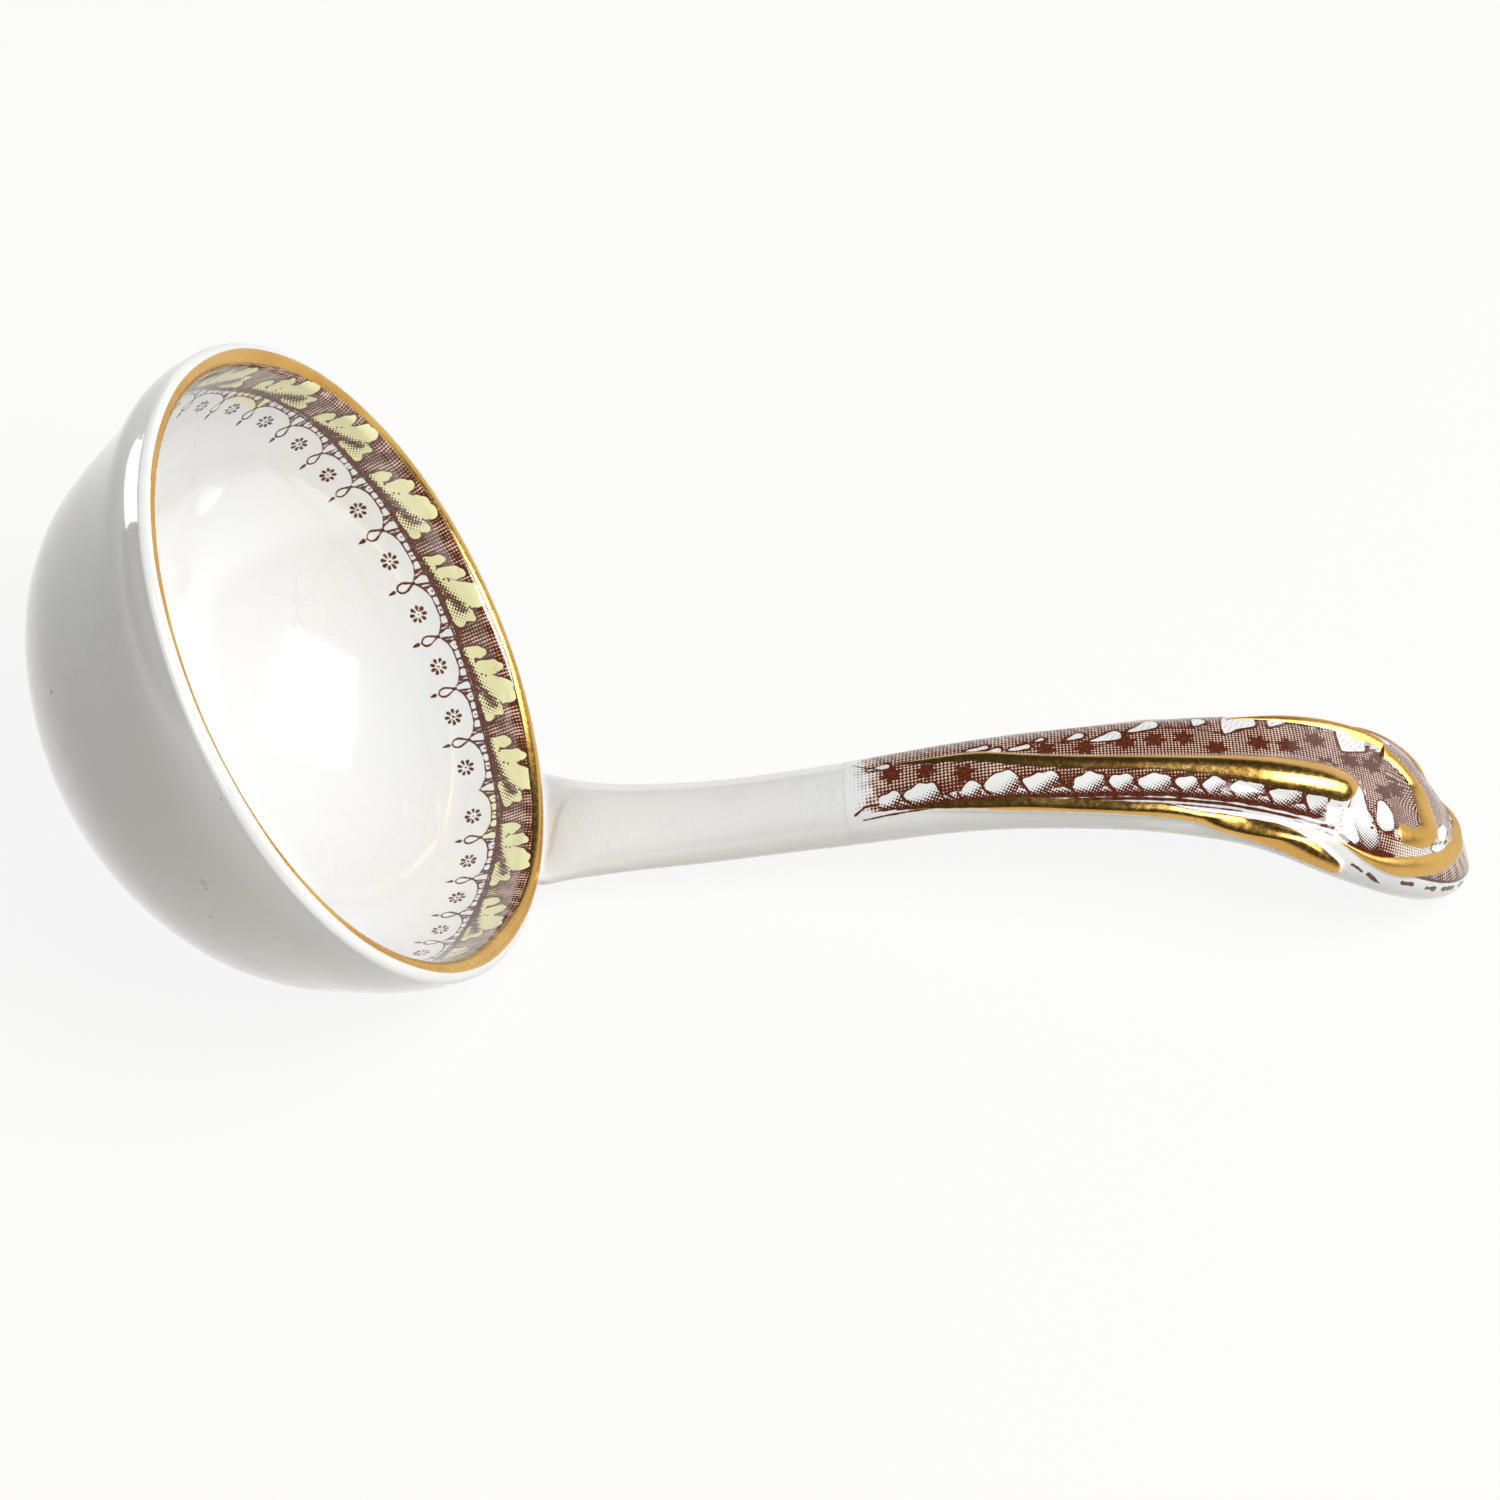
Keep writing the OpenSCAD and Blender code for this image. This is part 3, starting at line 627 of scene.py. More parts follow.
def inside(length, phi, lift):
    """Point on the inside at an arc length from the crest, lifted off the surface; below 0 it runs over the lip."""
    back = np.minimum(length, 0)
    r = np.interp(length, INSIDE_LENGTH, INSIDE[:, 0]) - back
    z = np.interp(length, INSIDE_LENGTH, INSIDE[:, 1]) - back * back * LIP_DROP / (2 * LIP_ROUND ** 2)
    e = 0.08
    dr = np.interp(length + e, INSIDE_LENGTH, INSIDE[:, 0]) - np.interp(length - e, INSIDE_LENGTH, INSIDE[:, 0])
    dz = np.interp(length + e, INSIDE_LENGTH, INSIDE[:, 1]) - np.interp(length - e, INSIDE_LENGTH, INSIDE[:, 1])
    d = np.maximum(1e-6, np.hypot(dr, dz))
    over = np.where(length < 0, -back * LIP_DROP / LIP_ROUND ** 2, dz / d)
    r = r + lift * over
    z = z + lift * np.where(length < 0, np.sqrt(1 - over ** 2), -dr / d)
    return np.stack([r * np.cos(phi), r * np.sin(phi), z], -1)


def outer_profile():
    a = np.radians(np.linspace(90, 0, 60))
    depth = LIP_DROP + (BOWL_DEPTH - LIP_DROP) * np.sin(a)
    wall = np.stack([np.maximum(outer_r(depth), FLAT_R * np.sin(a)), -depth], -1)
    b = np.radians(np.linspace(0, 90, 16))[1:-1]
    lip = np.stack([CREST_R + LIP_ROUND * np.cos(b), -LIP_DROP + LIP_DROP * np.sin(b)], -1)
    return np.concatenate([[[0, -BOWL_DEPTH]], [[FLAT_R * 0.5, -BOWL_DEPTH]], wall, lip])


def wall_shift(phi, depth):
    """How far the outer wall strays from the round profile."""
    turn = (np.degrees(phi) + 180) % 360 - 180
    flat = np.maximum(0, np.cos(phi - np.radians(FLAT_AZIMUTH))) ** 2
    return curve(depth, WALL_SHIFT) * step(22, 60, np.abs(turn)) + curve(depth, FLAT_SIDE) * flat


def build_bowl(material):
    outer = outer_profile()
    profile = np.concatenate([outer, INSIDE[::3], INSIDE[-1:]])
    turns = 300
    phi = np.linspace(0, 2 * np.pi, turns, endpoint=False)
    r, z = profile[:, 0][:, None], profile[:, 1][:, None]
    is_outer = (np.arange(len(profile)) < len(outer))[:, None]
    r = r + np.where(is_outer, wall_shift(phi[None, :], -z), 0.0)
    points = np.stack([r * np.cos(phi), r * np.sin(phi), z + 0 * phi], -1)
    return make_piece("bowl_body", points, grid_faces(len(profile), turns, wrap=True), material,
                      ["bowl"], merge=1e-7)


# Gilding of the lip: its inner edge was brushed by hand, narrow by the handle and wider across the bowl.
GILT_EDGE = [(-180, 2.2), (-120, 2.2), (-60, 1.55), (-38, 1.6), (-15, 1.2), (-6, 1.3), (8, 1.5), (16, 1.5), (31, 1.15),
             (42, 1.15), (50, 1.25), (63, 1.05), (80, 1.0), (95, 1.05), (111, 1.35), (120, 1.6), (135, 1.75), (180, 2.2)]


GILT_START = [(-180, -0.5), (-160, -0.45), (-140, -0.25), (-125, -0.15), (-90, -0.4), (-20, -0.65), (10, -0.7), (45, -0.5),
              (75, -0.4), (110, -0.55), (140, -0.5), (180, -0.5)]


def gilt_edge(phi):
    return curve(np.degrees(phi), GILT_EDGE) - 0.31 + waves(phi * 36, 0 * phi, 3.0, 0.05, 5)


def build_rim_gilding(material):
    turns, rows = 900, 22
    phi = np.linspace(-np.pi, np.pi, turns + 1)[:-1][None, :]
    t = np.linspace(0, 1, rows)[:, None]
    start = curve(np.degrees(phi), GILT_START) + waves(phi * 36, 0 * phi, 5.0, 0.05, 6)
    length = start + (gilt_edge(phi) - start) * t
    lift = 0.055 * np.minimum(1, 8 * np.minimum(t, 1 - t)) + 0 * phi
    return make_piece("gilt_rim", inside(length, phi + 0 * t, lift), grid_faces(rows, turns, wrap=True), material,
                      ["rim_gilding"])


# Printed border inside the bowl: repeats of a lobed leaf over a hatched ground, then a bead row and lace loops.
SCALLOPS = 34
LEAVES = 19
BORDER_SHIFT = [(-180, 0.1), (-60, 1.1), (-28, 1.0), (-17, 0.6), (-7, 0.1), (4, -0.3), (15, 0.0), (26, 0.2), (48, 0.0), (60, 0.1), (72, -0.1),
                (82, 0.0), (92, -0.25), (103, 0.0), (112, 0.35), (122, 1.0), (180, 0.1)]
# The transfer was laid by hand, so its repeats are uneven: azimuth of each flower and of each big leaf tip, and its number.
FLOWER_AT = [(-28, 0), (-17, 1), (-7, 2), (4, 3), (15, 4), (26, 5), (36.5, 6), (47.5, 7), (59.5, 8), (72, 9), (82, 10), (92, 11), (102.5, 12),
             (112.5, 13), (121.5, 14), (332, 34)]
LEAF_AT = [(-13, 0), (6.5, 1), (25, 2), (44, 3), (63.5, 4), (83.5, 5), (101.5, 6), (120, 7), (347, 19)]
PRINT_R = 33.0
BEAD_DEPTH = 5.95
ARC_DEPTH = 6.65
ARC_DROP = 1.15
# Lobes of one leaf: narrow end, wide end, its radius and the narrow end's radius; x = 0 is the big lobe's tip edge.
LEAF_LOBES = [((-7.2, 5.5), (-6.5, 3.9), 0.58, 0.2), ((-6.4, 4.6), (-6.4, 3.4), 0.3, 0.3), ((-5.3, 4.9), (-4.55, 2.9), 0.78, 0.25),
              ((-4.6, 3.2), (-4.3, 2.2), 0.42, 0.5), ((-3.9, 4.3), (-1.5, 2.6), 1.25, 0.45), ((-2.0, 3.0), (-0.75, 1.85), 0.72, 0.8),
              ((-2.4, 2.6), (-2.0, 1.9), 0.55, 0.7), ((-1.6, 4.3), (0.25, 3.6), 0.62, 0.3), ((0.0, 3.7), (0.75, 3.2), 0.3, 0.4),
              ((-1.8, 5.1), (0.75, 4.75), 0.52, 0.3), ((-6.9, 5.35), (-3.0, 4.6), 0.62, 0.3)]
LEAF_BASE = [(-7.0, 5.8), (-4.6, 5.4), (-2.7, 4.9), (-1.2, 4.2), (-0.3, 3.7)]
LEAF_DOTS = [(-3.9, 3.9), (-4.2, 4.35), (-0.35, 3.0), (-0.9, 3.5), (-5.6, 4.6)]


def uneven(phi, table, count):
    """Number of repeats up to an azimuth, from a table in degrees."""
    d = np.degrees(phi)
    first = table[0][0]
    d = np.where(d < first, d + 360, d)
    return np.interp(d, [p[0] for p in table], [p[1] for p in table]) % count


def border_leaves(phi, v, x):
    """Acanthus leaves over a ground of radial lines: signed distance, ground, shading and vein dots."""
    period = 2 * np.pi * PRINT_R / LEAVES
    number = uneven(phi, LEAF_AT, LEAVES)
    part = -(number - np.round(number)) * period
    u = part + waves(x, v, 3.0, 0.12, 11)
    w = v + waves(x, v, 2.5, 0.10, 12)
    leaf = np.full(u.shape, 9.0)
    root = np.full(u.shape, 9.0)
    cross = np.zeros(u.shape)
    dots = np.full(u.shape, 9.0)
    for shift in (-period, 0, period):
        for p, q, wide, narrow in LEAF_LOBES:
            leaf = soft_join(leaf, lobe(u + shift, w, p, q, wide, narrow), 0.06)
        root = np.minimum(root, path(u + shift, w, LEAF_BASE, 0.0))
        cross = np.maximum(cross, np.exp(-((u + shift + 0.4) ** 2 / 1.5 + (w - 4.7) ** 2 / 0.5)))
        for cx, cy in LEAF_DOTS:
            dots = np.minimum(dots, np.hypot(u + shift - cx, w - cy) - 0.15)
    leaf = leaf - 0.10 + waves(x, v, 0.7, 0.06, 15)
    streak = 0.14 * np.sin(u * 2.6 + 0.8 * w) + 0.10 * waves(x, v, 0.9, 1.0, 17)
    low = np.exp(-((w - BEAD_DEPTH + 0.05) / 0.5) ** 2)
    hug = np.exp(-(np.maximum(leaf, 0) / 0.3) ** 2)
    ground = 0.68 + streak + 0.6 * low + 0.34 * hug
    ground = np.where(w < BEAD_DEPTH - 0.05, ground, -1.0)
    comb = 0.16 * np.sin(u * 7.0 + 2.5 * w)
    shade = (0.95 + comb) * np.exp(-(root / 0.52) ** 2) + 0.40 * cross + (0.6 + comb) * low + 0.08 * waves(x, v, 1.2, 1.0, 16) - 0.03
    return leaf, ground, shade, dots


def border_lace(phi, v, x):
    """A row of beads, hanging arcs that cross into loops with a drop, and a flower under each arc."""
    pitch = 2 * np.pi * PRINT_R / SCALLOPS
    number = uneven(phi, FLOWER_AT, SCALLOPS)
    whole = np.round(number)
    c = -(number - whole) * pitch
    k = c - np.where(c > 0, 1, -1) * pitch / 2
    arc = ARC_DEPTH + ARC_DROP * (np.abs(c) / (pitch / 2)) ** 3
    slope = 1 / np.sqrt(1 + (3 * ARC_DROP / (pitch / 2) * (np.abs(c) / (pitch / 2)) ** 2) ** 2)
    line = np.abs(v - arc) * slope - 0.10
    beads = np.abs((c + 0.525) % 1.05 - 0.525) - 0.10 - 0.08 * np.abs(v - 6.3) / 0.35
    beads = np.where(np.abs(c) > 2.35, np.abs(np.abs(k) - 0.62 + 0.25 * (v - 6.2)) - 0.12, beads)
    beads = np.maximum(beads, np.maximum(BEAD_DEPTH - 0.2 - v, v - arc))
    top = np.abs(v - BEAD_DEPTH) - 0.13
    eyes = np.hypot((c + 1.05) % 2.1 - 1.05 - 0.525, v - 6.3) - 0.13
    line = np.minimum(line, np.minimum(np.minimum(top, beads), eyes))
    cross_v = ARC_DEPTH + ARC_DROP - 0.05
    tear = np.abs(oval(k, v, 0.0, cross_v + 1.3, 0.5, 0.66)) - 0.12
    tear = np.where(v > cross_v + 0.95, tear, 0.5)
    sides = np.minimum(to_segment(np.abs(k), v, (0.0, cross_v), (0.44, cross_v + 1.0))[0] - 0.12,
                       np.hypot(k, v - cross_v) - 0.2)
    drop = lobe(k, v, (0.04, cross_v + 3.15), (0.0, cross_v + 2.45), 0.24, 0.04)
    hook = np.minimum(np.minimum(tear, sides), np.minimum(drop, path(k, v, [(0, cross_v + 2.0), (0, cross_v + 2.4)], 0.07)))
    lost = (np.abs(np.degrees(phi) - 9.5) < 3.2)
    line = np.minimum(line, np.where(lost, 0.5, hook))
    radius, angle = np.hypot(c, v - 8.85), np.arctan2(v - 8.85, c)
    turn = (angle + whole * 0.37) % (np.pi / 4) - np.pi / 8
    px, py = radius * np.cos(turn), radius * np.sin(turn)
    petal = lobe(px, py, (0.40, 0.0), (0.78, 0.0), 0.21, 0.08)
    line = np.minimum(line, np.minimum(petal, radius - 0.15))
    return line + waves(x, v, 0.5, 0.025, 13), arc


def border_fields(phi, v):
    """Ornament of the border at azimuth phi (radians) and depth v below the crest of the lip, in mm."""
    x = -phi * PRINT_R
    leaf, ground, shade, dots = border_leaves(phi, v, x)
    line, arc = border_lace(phi, v, x)
    rib = np.abs(leaf - 0.06) - 0.055 - waves(x, v, 1.5, 0.06, 18)
    line = np.minimum(line, np.where(v < BEAD_DEPTH - 0.2, np.minimum(dots, rib), 0.5))
    leaf = np.where(v > BEAD_DEPTH, 0.6, leaf)
    tint = step(0.22, 0.02, leaf + waves(x, v, 2.0, 0.10, 14))
    degrees = np.degrees(phi)
    stray = np.maximum(step(5.0, 4.0, np.abs(degrees - 111)) * (v > BEAD_DEPTH) * (v < arc + 1.0),
                       step(6.0, 5.2, np.abs(degrees - 3.5)) * (v > BEAD_DEPTH) * (v < arc + 0.3))
    return leaf, line, ground, shade, np.maximum(tint, 0.75 * stray)


def build_border(material):
    turns, rows = 1250, 68
    phi = np.linspace(-np.pi, np.pi, turns + 1)[None, :]
    t = np.linspace(0, 1, rows)[:, None]
    start = gilt_edge(phi) - 0.25
    end = 12.3 + 0 * phi
    length = start + (end - start) * t
    phi = phi + 0 * t
    v = length + 0.44 - curve(np.degrees(phi), BORDER_SHIFT)
    leaf, line, ground, shade, tint = border_fields(phi, v)
    lift = 0.02 * np.minimum(1, 20 * (1 - t)) + 0 * phi
    fields = {"leaf": leaf, "line": line, "ground": ground, "shade": shade, "tint": tint,
              "print_place": np.stack([phi * PRINT_R, v, 0 * v], -1)}
    return make_piece("bowl_border", inside(length, phi, lift), grid_faces(rows, turns + 1), material,
                      ["bowl_border_print"], fields)


# Handle
def handle_columns(step_mm, fan_steps, start=0.0):
    count = int((FOCUS - start) / step_mm) + 1
    s = np.linspace(start, FOCUS, count)
    fan = np.linspace(0, np.pi, fan_steps + 1)[1:-1]
    return (np.r_[s, np.full(len(fan), FOCUS), s[::-1]],
            np.r_[np.zeros(count), fan, np.full(count, np.pi)])


def handle_rows(theta, s, psi, lift):
    """Points of the handle: theta runs from the middle of the top (0) over the side to the middle below."""
    q = np.sin(theta)[:, None] ** (2 / curve(s, SECTION_POWER))[None, :]
    top = (theta <= np.pi / 2 + 1e-9)[:, None]
    w = plain_lengths(theta, s, psi)
    x, y = s + w * np.sin(psi), -w * np.cos(psi)
    under_fade = step(np.pi * 0.62, np.pi / 2, theta)[:, None]
    rise = np.where(top, relief(x, y), 0) - far_sink(x, y) * under_fade + lift
    return bent(handle_point(q, top, s[None, :] + 0 * q, psi[None, :] + 0 * q, rise)), x, y


def joint_rows(ring_theta, count):
    """Rows from the handle's root down to the bowl's wall, meeting the wall along its surface."""
    s = np.array([0.0])
    near = handle_rows(ring_theta, s, np.array([0.0]), 0.0)[0][:, 0]
    far = handle_rows(ring_theta, s, np.array([np.pi]), 0.0)[0][:, 0]
    tx, tz = along_line(0.0)
    away = np.array([-tx, 0, -tz])
    out = []
    for root, sign in ((near, -1.0), (far, 1.0)):
        a = ring_theta
        spread = np.abs(np.sin(a)) ** 0.9
        phi = (sign * 11.2 * spread + 0.8) / RIM_R
        depth = 5.0 - 4.1 * np.cos(a)
        r = outer_r(depth) - 0.12
        wall = np.stack([r * np.cos(phi), r * np.sin(phi), -depth], -1)
        out_way = np.stack([0 * phi, sign * np.sin(a), np.cos(a)], -1)
        gap = np.linalg.norm(root - wall, axis=-1, keepdims=True)
        t = np.linspace(0, 1, count)[1:, None, None]
        h00, h10 = 2 * t ** 3 - 3 * t ** 2 + 1, t ** 3 - 2 * t ** 2 + t
        h01, h11 = -2 * t ** 3 + 3 * t ** 2, t ** 3 - t ** 2
        out.append(h00 * root + h10 * away * gap * 0.9 + h01 * wall + h11 * out_way * gap * 1.1)
    return out


def build_handle(material):
    theta = np.concatenate([np.linspace(0, np.pi / 2, 64), np.linspace(np.pi / 2, np.pi, 36)[1:]])
    s, psi = handle_columns(0.45, 90)
    body = handle_rows(theta, s, psi, 0.0)[0]
    near, far = joint_rows(theta, 16)
    near = np.moveaxis(near, 0, 1)[:, ::-1]
    far = np.moveaxis(far, 0, 1)
    points = np.concatenate([near, body, far], axis=1)
    rows, cols = points.shape[:2]
    return make_piece("handle_body", points, grid_faces(rows, cols)[:, ::-1], material,
                      ["handle", "handle_joint"], merge=1e-7)


# Near lobes of the handle's print: middle and half sizes. Far lobes: pointed end, round end and its radius.
NEAR_LOBES = [(38.6, -3.7, 1.35, 0.95), (42.1, -3.75, 2.0, 1.25), (45.3, -4.5, 0.5, 0.5), (47.3, -4.1, 1.15, 0.95), (50.6, -3.8, 1.9, 1.35),
              (54.5, -4.05, 1.95, 1.2), (59.7, -4.5, 1.75, 1.15), (62.9, -4.8, 1.4, 1.1), (66.4, -5.0, 1.8, 1.1),
              (69.6, -5.1, 1.2, 1.0), (72.4, -5.3, 1.3, 0.95), (75.6, -5.6, 1.8, 1.0), (79.2, -6.1, 1.7, 1.0), (82.2, -6.6, 1.1, 1.0)]
FAR_LOBES = [((36.3, 0.75), (38.4, 0.95), 0.36), ((46.8, 1.1), (48.8, 1.5), 0.42), ((48.2, 0.3), (50.2, 0.65), 0.46), ((51.5, 0.5), (53.2, 1.0), 0.46),
             ((54.1, 1.6), (54.9, 2.0), 0.36), ((57.6, 1.7), (58.8, 2.4), 0.6), ((60.1, 1.2), (62.6, 2.1), 0.8), ((64.0, 2.6), (66.4, 3.9), 0.85),
             ((70.7, 3.5), (71.5, 4.6), 0.9), ((73.9, 2.5), (75.5, 4.9), 1.8), ((78.6, 4.0), (79.3, 5.3), 1.0), ((85.7, 2.0), (86.9, 3.8), 1.8)]
FAR_STEM = [(46.6, 0.7), (47.8, -0.3), (50.4, -0.05), (51.2, 0.1), (53.6, 0.45), (54.2, 1.15), (55.4, 1.5), (57.3, 1.2), (59.2, 1.6), (59.7, 0.8),
            (60.5, 0.3), (63.2, 1.2), (63.8, 2.1), (66.5, 2.8), (67.5, 3.2), (70.4, 3.2), (73.5, 2.4)]
END_PETALS = [((84.4, -6.6), (84.1, -7.8), 0.85, 0.5), ((86.3, -4.6), (86.6, -6.6), 1.25, 0.8), ((86.6, -6.6), (88.2, -9.4), 1.05, 1.25),
              ((89.2, -4.9), (89.7, -6.7), 1.15, 0.6), ((92.0, 6.7), (93.2, 6.3), 0.7, 0.4), ((98.7, -3.2), (98.1, -5.4), 0.8, 0.4),
              ((98.2, -6.8), (96.9, -7.8), 0.6, 0.3)]
FLOWERS = [(38.9, -0.5), (42.7, -0.9), (46.6, -1.9), (55.3, 0.3), (59.4, 0.2), (63.7, 0.9), (66.7, 1.2), (69.7, 1.5), (72.9, 0.0), (77.2, 1.2),
           (80.1, 1.2), (82.9, 2.8), (83.7, -0.8), (86.4, 0.7), (88.9, 0.9), (89.9, -2.8), (92.0, -1.2), (90.2, 2.6)]
PRINT_BASE = [(35, 4.5), (38, 4.75), (44, 4.95), (50, 5.3), (57, 5.7), (63, 5.95), (68, 6.2), (71.5, 6.5), (76, 6.95), (80, 7.5), (84, 8.1)]


def near_leaf(x, y, wob_x, wob_y):
    """The leaf along the near side: rounded lobes above a stippled strip; signed distance and shading."""
    above = curve(x, PRINT_BASE) + y
    leaf = above - 0.95 - 0.12 * np.sin(x * 2.1)
    shade = 1.1 * step(1.25, 0.0, above) ** 1.2
    for cx, cy, rx, ry in NEAR_LOBES:
        u, v = (x + wob_x - cx) / rx, (y + wob_y - cy) / ry
        notch = 0.10 * np.cos((x - cx) * 4.1 + cx) * step(-0.2, 0.5, v)
        here = oval(x + wob_x, y + wob_y, cx, cy, rx, ry, 0.12) + notch
        comb = 0.16 * np.sin((x + 0.8 * y) * 9.5) * step(-0.4, 0.5, u - v)
        shade = np.where(here < 0.02, np.maximum(shade * 0.95, (0.86 + comb) * step(-0.35, 1.15, 0.85 * u - 0.9 * v)), shade)
        leaf = np.minimum(leaf, here)
    for (cx, cy, rx, ry), following in zip(NEAR_LOBES[:-1], NEAR_LOBES[1:]):
        edge_x = (cx + rx + following[0] - following[2]) / 2
        foot = (edge_x + 0.75, 0.45 - float(curve(edge_x + 0.75, PRINT_BASE)))
        leaf = np.maximum(leaf, -path(x, y, [(edge_x - 0.15, cy + 0.35), (edge_x + 0.15, cy - 0.3), foot], 0.3))
    ends = (x > 37.2) & (x < 83.4 + wob_y * 2) & (y < -1.8)
    return np.where(ends, leaf, 9.0), shade


def handle_leaves(x, y):
    """Lobed leaves along both sides and petals at the end: signed distance and stippled shading."""
    wob_x, wob_y = waves(x, y, 1.6, 0.10, 21), waves(x, y, 1.8, 0.10, 24)
    leaf, shade = near_leaf(x, y, wob_x, wob_y)
    shade = np.where(leaf < 1, shade, 0.0)
    for p, q, wide in FAR_LOBES:
        here = lobe(x + wob_x, y + wob_y, p, q, wide, 0.1)
        veins = 0.32 * step(0.3, 1.0, np.sin((x - 0.8 * y - p[0]) * 9.0)) * step(0, -0.3, here)
        shade = np.where(here < 0.1, veins, shade)
        leaf = np.minimum(leaf, here)
    for p, q, wide, narrow in END_PETALS:
        here = lobe(x + wob_x, y + wob_y, p, q, wide, narrow)
        shade = np.where(here < 0.1, 0.6 * step(-7.6, -10.2, y) + 0.35 * step(0.5, 0.0, -here) * step(-4.5, -7.5, y), shade)
        leaf = np.minimum(leaf, here)
    return leaf, shade


def handle_ground(x, y, edge_y):
    """Density of the ground: net on the top, dark flowers, hatching beside the leaves and round the end."""
    cloud = waves(x, y, 3.5, 1.0, 25)
    begin = step(33.9, 38.6, x + waves(x, y, 1.0, 0.9, 22))
    ground = -0.05 + 0.67 * begin + 0.07 * cloud * begin
    for cx, cy in FLOWERS:
        r, a = np.hypot(x - cx, y - cy), np.arctan2(y - cy, x - cx)
        ground = np.maximum(ground, 0.50 * begin + 0.75 * step(1.3, 0.55, r * (1 + 0.25 * np.cos(6 * a + cx))))
    above = curve(x, PRINT_BASE) + y
    strip = (y < 0) & (x < 83.4)
    ground = np.where(strip, ground + 0.22 * step(2.9, 1.9, above) * step(37, 39.5, x), ground)
    far = step(1.5, 2.4, y - 0.05 * (x - 40)) * (x < 84)
    ground = ground + far * (0.08 + 0.14 * np.sin(x * 4.4 + y * 2.4))
    reach = np.hypot(np.maximum(x - FOCUS, 0), y)
    turn = np.arctan2(np.maximum(x - FOCUS, 0), -y)
    between = (x > 84) & (reach > 8.6)
    blotch = step(-6.0, -3.5, y) * step(1.4, 0.4, np.abs(reach - 9.8)) * (0.6 + 0.4 * np.sin(turn * 9))
    ground = np.where(between, 0.50 + 0.14 * cloud + 0.5 * blotch + 0.5 * np.exp(-((reach - 10.4) / 0.6) ** 2) * (x < 90), ground)
    pale = step(90.5, 94.0, x + 0.8 * cloud) * (reach > 8.6) * step(10.8, 10.2, reach) * step(-3.8, -5.4, y)
    ground = ground + (0.30 - ground) * pale
    outside = (x > 88) & (reach > 11.3)
    hatch = 0.5 + 0.5 * np.sin(turn * 44)
    ground = np.where(outside, 0.42 + 0.3 * hatch + 0.12 * step(1.6, 0.2, edge_y - 2.3 - reach), ground)
    return ground, reach, turn, outside, begin


def handle_lines(x, y, leaf, limit, away, turn, bare_side):
    """Drawn lines: leaf outlines, the lines above the side ridge and round the end, strokes and dots."""
    side = np.abs(y)
    near_end = (x > FOCUS) & (turn < 1.3)
    swell = 0.05 * waves(x, y, 1.0, 1.0, 26)
    thick = 0.12 + 0.07 * step(0.5, 2.0, y)
    lines = [np.where((leaf > -0.3) & (leaf < 1) & ~bare_side, np.abs(leaf - 0.10) - thick - swell, 0.5)]
    above = np.where((x > 39) & (x < 83.5) & (y < 0), np.abs(side - curve(x, PRINT_BASE)) - 0.11 - 0.15 * step(44, 52, x) - swell, 0.5)
    second = path(x, side, [(49, 5.75), (57, 6.2), (63, 6.4), (68, 6.75), (73.6, 7.25), (80, 8.2), (84.3, 8.9)], 0.36)
    third = path(x, side, [(58, 6.55), (63, 6.8), (70, 7.45), (75.5, 8.05)], 0.18)
    lines += [above, np.where(y < 0, second, 0.5), np.where(y < 0, third, 0.5)]
    lines.append(np.where(x > 89.5, np.abs(away - limit) - 0.2, 0.5))
    dashes = np.sin(turn * 26 + 1.0) + 0.5 * np.sin(turn * 11)
    lines.append(np.where(near_end & (turn > 0.22) & (dashes > -0.5), np.abs(away - limit - 1.35 + 0.5 * turn) - 0.25 - 3 * swell, 0.5))
    for points, width in STROKES:
        lines.append(path(x, y, points, width))
    for cx, low, high, apart in DOT_ROWS:
        dots = np.hypot(x - cx - 0.12 * np.sin(y * 8), (y + 0.2) % apart - apart / 2) - 0.17
        lines.append(np.where((y > low) & (y < high), dots, 0.5))
    line = lines[0]
    for extra in lines[1:]:
        line = np.minimum(line, extra)
    return line + waves(x, y, 0.6, 0.025, 23)


STROKES = [([(87.2, -12.5), (88.0, -12.75), (88.7, -13.1)], 0.3), ([(89.5, -13.15), (90.6, -13.6), (91.2, -13.95), (92.0, -14.25)], 0.5),
           ([(92.3, -14.4), (93.2, -14.75)], 0.36), ([(34.5, 2.2), (35.6, 1.5), (36.3, 1.2), (38, 0.4), (40, 0.5)], 0.17),
           ([(34.6, -4.6), (35.8, -3.9), (37.3, -3.9)], 0.28), ([(35.4, -5.3), (38, -5.2), (41, -5.25), (44, -5.35)], 0.2),
           ([(80.5, -8.6), (83, -9.3), (85.5, -10.3), (88, -11.2)], 0.1), ([(85.1, -9.6), (86.4, -10.4), (88.5, -10.8), (91, -10.3)], 0.5),
           (FAR_STEM, 0.2), ([(56.4, -3.0), (57.0, -4.7), (57.5, -4.9), (57.7, -3.9)], 0.24), ([(43.6, -2.6), (44.4, -4.7)], 0.24)]
DOT_ROWS = [(84.9, -8.9, -6.2, 0.62), (88.25, -8.2, -5.0, 0.58)]


